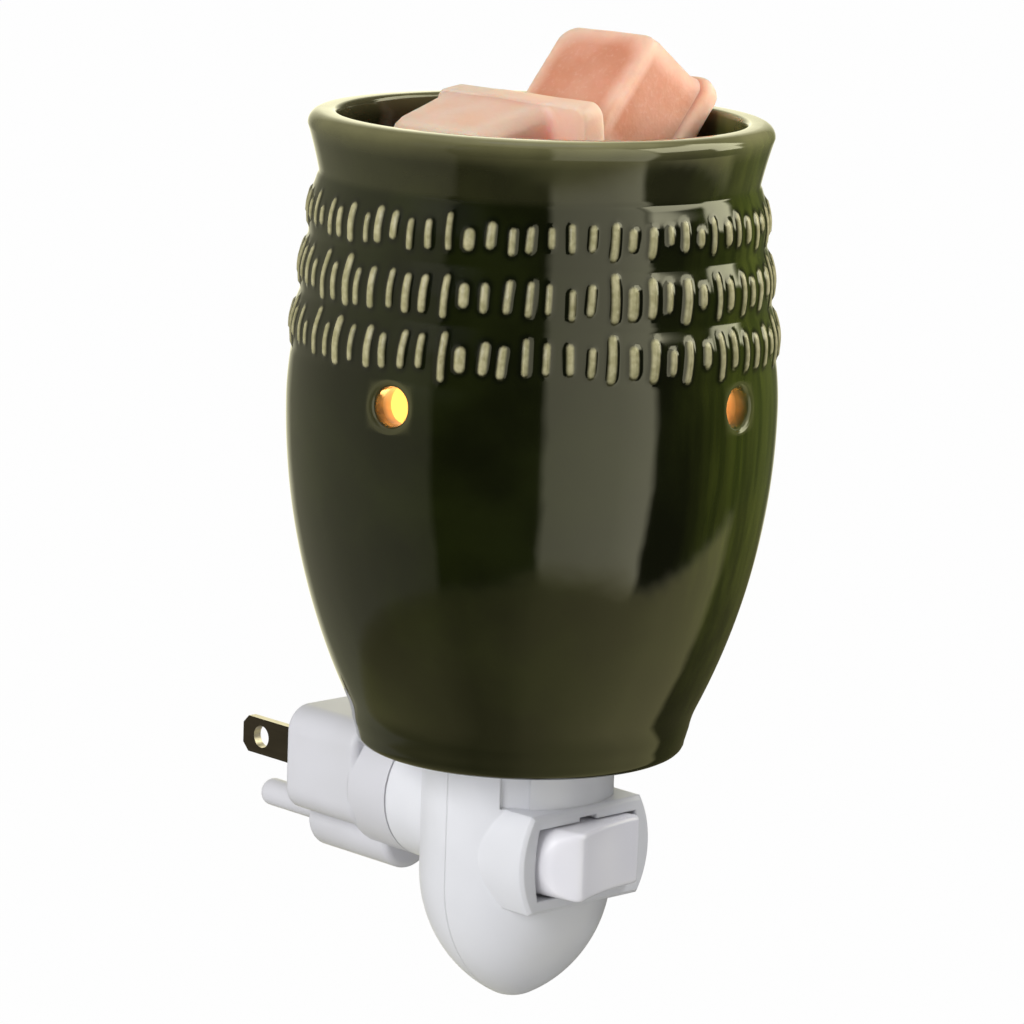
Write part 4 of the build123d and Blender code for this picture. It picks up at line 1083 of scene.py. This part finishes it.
# square soft lamp that looks at its middle
def addLamp(name, values):
    lamp = bpy.data.lights.new(name, "AREA")
    lamp.size = values["size"]
    lamp.energy = values["power"]
    holder = bpy.data.objects.new(name, lamp)
    middle = Vector(studio[values["aim"]])
    spot = bearingPoint(middle, values["bearing"], values["height"], values["reach"])
    holder.location = spot
    holder.rotation_euler = (middle - spot).to_track_quat("-Z", "Y").to_euler()
    holder.visible_camera = False
    holder.visible_glossy = values["mirrored"]
    bpy.context.scene.collection.objects.link(holder)


# brightness of the cards that the glaze mirrors, by bearing and height in degrees
mirrored = {
    "lowerBearings": (-180, -112, -60, -35, -10, 6, 30, 60, 80, 112, 118, 180),
    "lowerGlow": (0.45, 0.42, 0.4, 0.27, 0.34, 0.48, 0.6, 0.8, 0.95, 0.85, 0.12, 0.1),
    "endBearings": (0, 14),
    "endShares": (0.72, 0.98),
    "lowerFade": 14,
    "edgeBearings": (-44, -13, 4, 65, 85, 106, 130),
    "edgeHeights": (-34.5, -34, -31.5, -32, -27, -20, -14),
    "softBearings": (4, 12, 52, 62),
    "softHeights": (1.5, 4, 4, 1.5),
    "upperBearings": (-180, -165, -150, -120, -90, -60, -48, -44, 4, 8, 40, 56, 60, 110, 160, 172, 180),
    "upperGlow": (2.1, 0.9, 0.3, 0.42, 0.46, 0.4, 0.34, 0.02, 0.03, 1.3, 1.7, 2.2, 0.05, 0.05, 0.1, 0.9, 2.1),
    "overheadHeights": (52, 64),
    "overheadGlow": 0.8,
    "panels": (
        {"bearings": (58, 124), "heights": (22, 54), "sideFades": (4, 4), "levelFades": (4, 4)},
        {"bearings": (92, 115), "heights": (6, 42), "sideFades": (3, 3), "levelFades": (3, 4)},
    ),
    "panelGlow": 5.0,
    "lowerTint": (255, 247, 180),
    "upperTint": (253, 249, 212),
}


# 1 between two limits, fading to 0 just inside them
def between(value, limits, fades):
    rising = smoothStep(value, limits[0], limits[0] + fades[0])
    return rising * smoothStep(-value, -limits[1], fades[1] - limits[1])


# glow of the cards at each bearing and height, and the share of it that is the lower card's
def mirroredGlow(bearing, height):
    lower = np.interp(bearing, mirrored["lowerBearings"], mirrored["lowerGlow"])
    upper = np.interp(bearing, mirrored["upperBearings"], mirrored["upperGlow"])
    edge = np.interp(bearing, mirrored["edgeBearings"], mirrored["edgeHeights"])
    soft = np.interp(bearing, mirrored["softBearings"], mirrored["softHeights"])
    end = np.interp(bearing, mirrored["endBearings"], mirrored["endShares"])
    lower = lower * (end + (1 - end) * smoothStep(edge - height, 0, mirrored["lowerFade"]))
    overhead = smoothStep(height, *mirrored["overheadHeights"])
    upper = upper * (1 - overhead) + mirrored["overheadGlow"] * overhead
    panels = []
    for panel in mirrored["panels"]:
        across = between(bearing, panel["bearings"], panel["sideFades"])
        panels.append(across * between(height, panel["heights"], panel["levelFades"]))
    above = smoothStep((height - edge) / soft, -1, 1)
    glow = lower * (1 - above) + upper * above + mirrored["panelGlow"] * np.maximum(*panels)
    return glow, 1 - above


# a bowl of cards round the warmer, seen only in reflections
def addSurround():
    bearing = np.arange(-180, 180, 2)
    height = np.linspace(-89, 75, 83)
    heading = np.radians(camera["azimuth"] + bearing)[None, :]
    rise = np.radians(height)[:, None]
    ways = np.broadcast_arrays(np.sin(heading) * np.cos(rise), -np.cos(heading) * np.cos(rise), np.sin(rise))
    points = np.array(studio["middle"]) + studio["surroundReach"] * np.stack(ways, axis=-1)
    quads = ringQuads(len(height), len(bearing)).reshape(-1, 4)
    mesh = bpy.data.meshes.new("mirroredCards")
    mesh.from_pydata(points.reshape(-1, 3).tolist(), [], quads.tolist())
    glow, below = mirroredGlow(*np.meshgrid(bearing, height))
    addMarks(mesh, {"glow": glow, "below": below})
    fixed = {"Base Color": (0, 0, 0, 1), "Specular IOR Level": 0, "Emission Strength": 1.0}
    cards = Finish("mirroredCards", fixed)
    tint = cards.blend(cards.mark("below"), paint(*mirrored["upperTint"]), paint(*mirrored["lowerTint"]))
    inputs = {0: tint, "Scale": cards.mark("glow")}
    cards.feed("Emission Color", cards.node("ShaderNodeVectorMath", {"operation": "SCALE"}, inputs))
    mesh.materials.append(cards.material)
    bowl = bpy.data.objects.new("mirroredCards", mesh)
    bowl.visible_camera = False
    bowl.visible_diffuse = False
    bowl.visible_transmission = False
    bowl.visible_shadow = False
    bpy.context.scene.collection.objects.link(bowl)


# round floor, nearly white to the camera and in mirrors, with a faint shadow kept
def addFloor():
    sides = studio["floorSides"]
    ring = np.linspace(0, 2 * math.pi, sides + 1)[:-1]
    rim = np.stack([np.cos(ring), np.sin(ring), np.zeros(sides)], axis=1) * studio["floorRadius"]
    points = np.concatenate([[[0, 0, 0]], rim]) + np.array([0, 0, studio["floorLevel"]])
    spokes = np.arange(sides)
    triangles = np.stack([np.zeros(sides, int), spokes + 1, (spokes + 1) % sides + 1], axis=1)
    mesh = bpy.data.meshes.new("paleFloor")
    mesh.from_pydata(points.tolist(), [], triangles.tolist())
    floor = bpy.data.objects.new("paleFloor", mesh)
    bpy.context.scene.collection.objects.link(floor)
    paper = Finish("paleFloor", {"Base Color": (0.82, 0.82, 0.82, 1), "Roughness": 0.9})
    paper.whiteWhereSeen("ShaderNodeEmission", "Material Output", studio["floorWhite"])
    mesh.materials.append(paper.material)


# soft light from all round, white where it is seen
def addSky():
    fixed = {"Color": (1, 1, 1, 1), "Strength": studio["skyStrength"]}
    sky = Finish("studioSky", fixed, bpy.data.worlds, "Background")
    sky.whiteWhereSeen("ShaderNodeBackground", "World Output")
    bpy.context.scene.world = sky.material


addFloor()
addSky()
for lampName, lampValues in studio["lamps"].items():
    addLamp(lampName, lampValues)
addSurround()
bpy.context.scene.view_settings.view_transform = "Standard"
print("studio set")
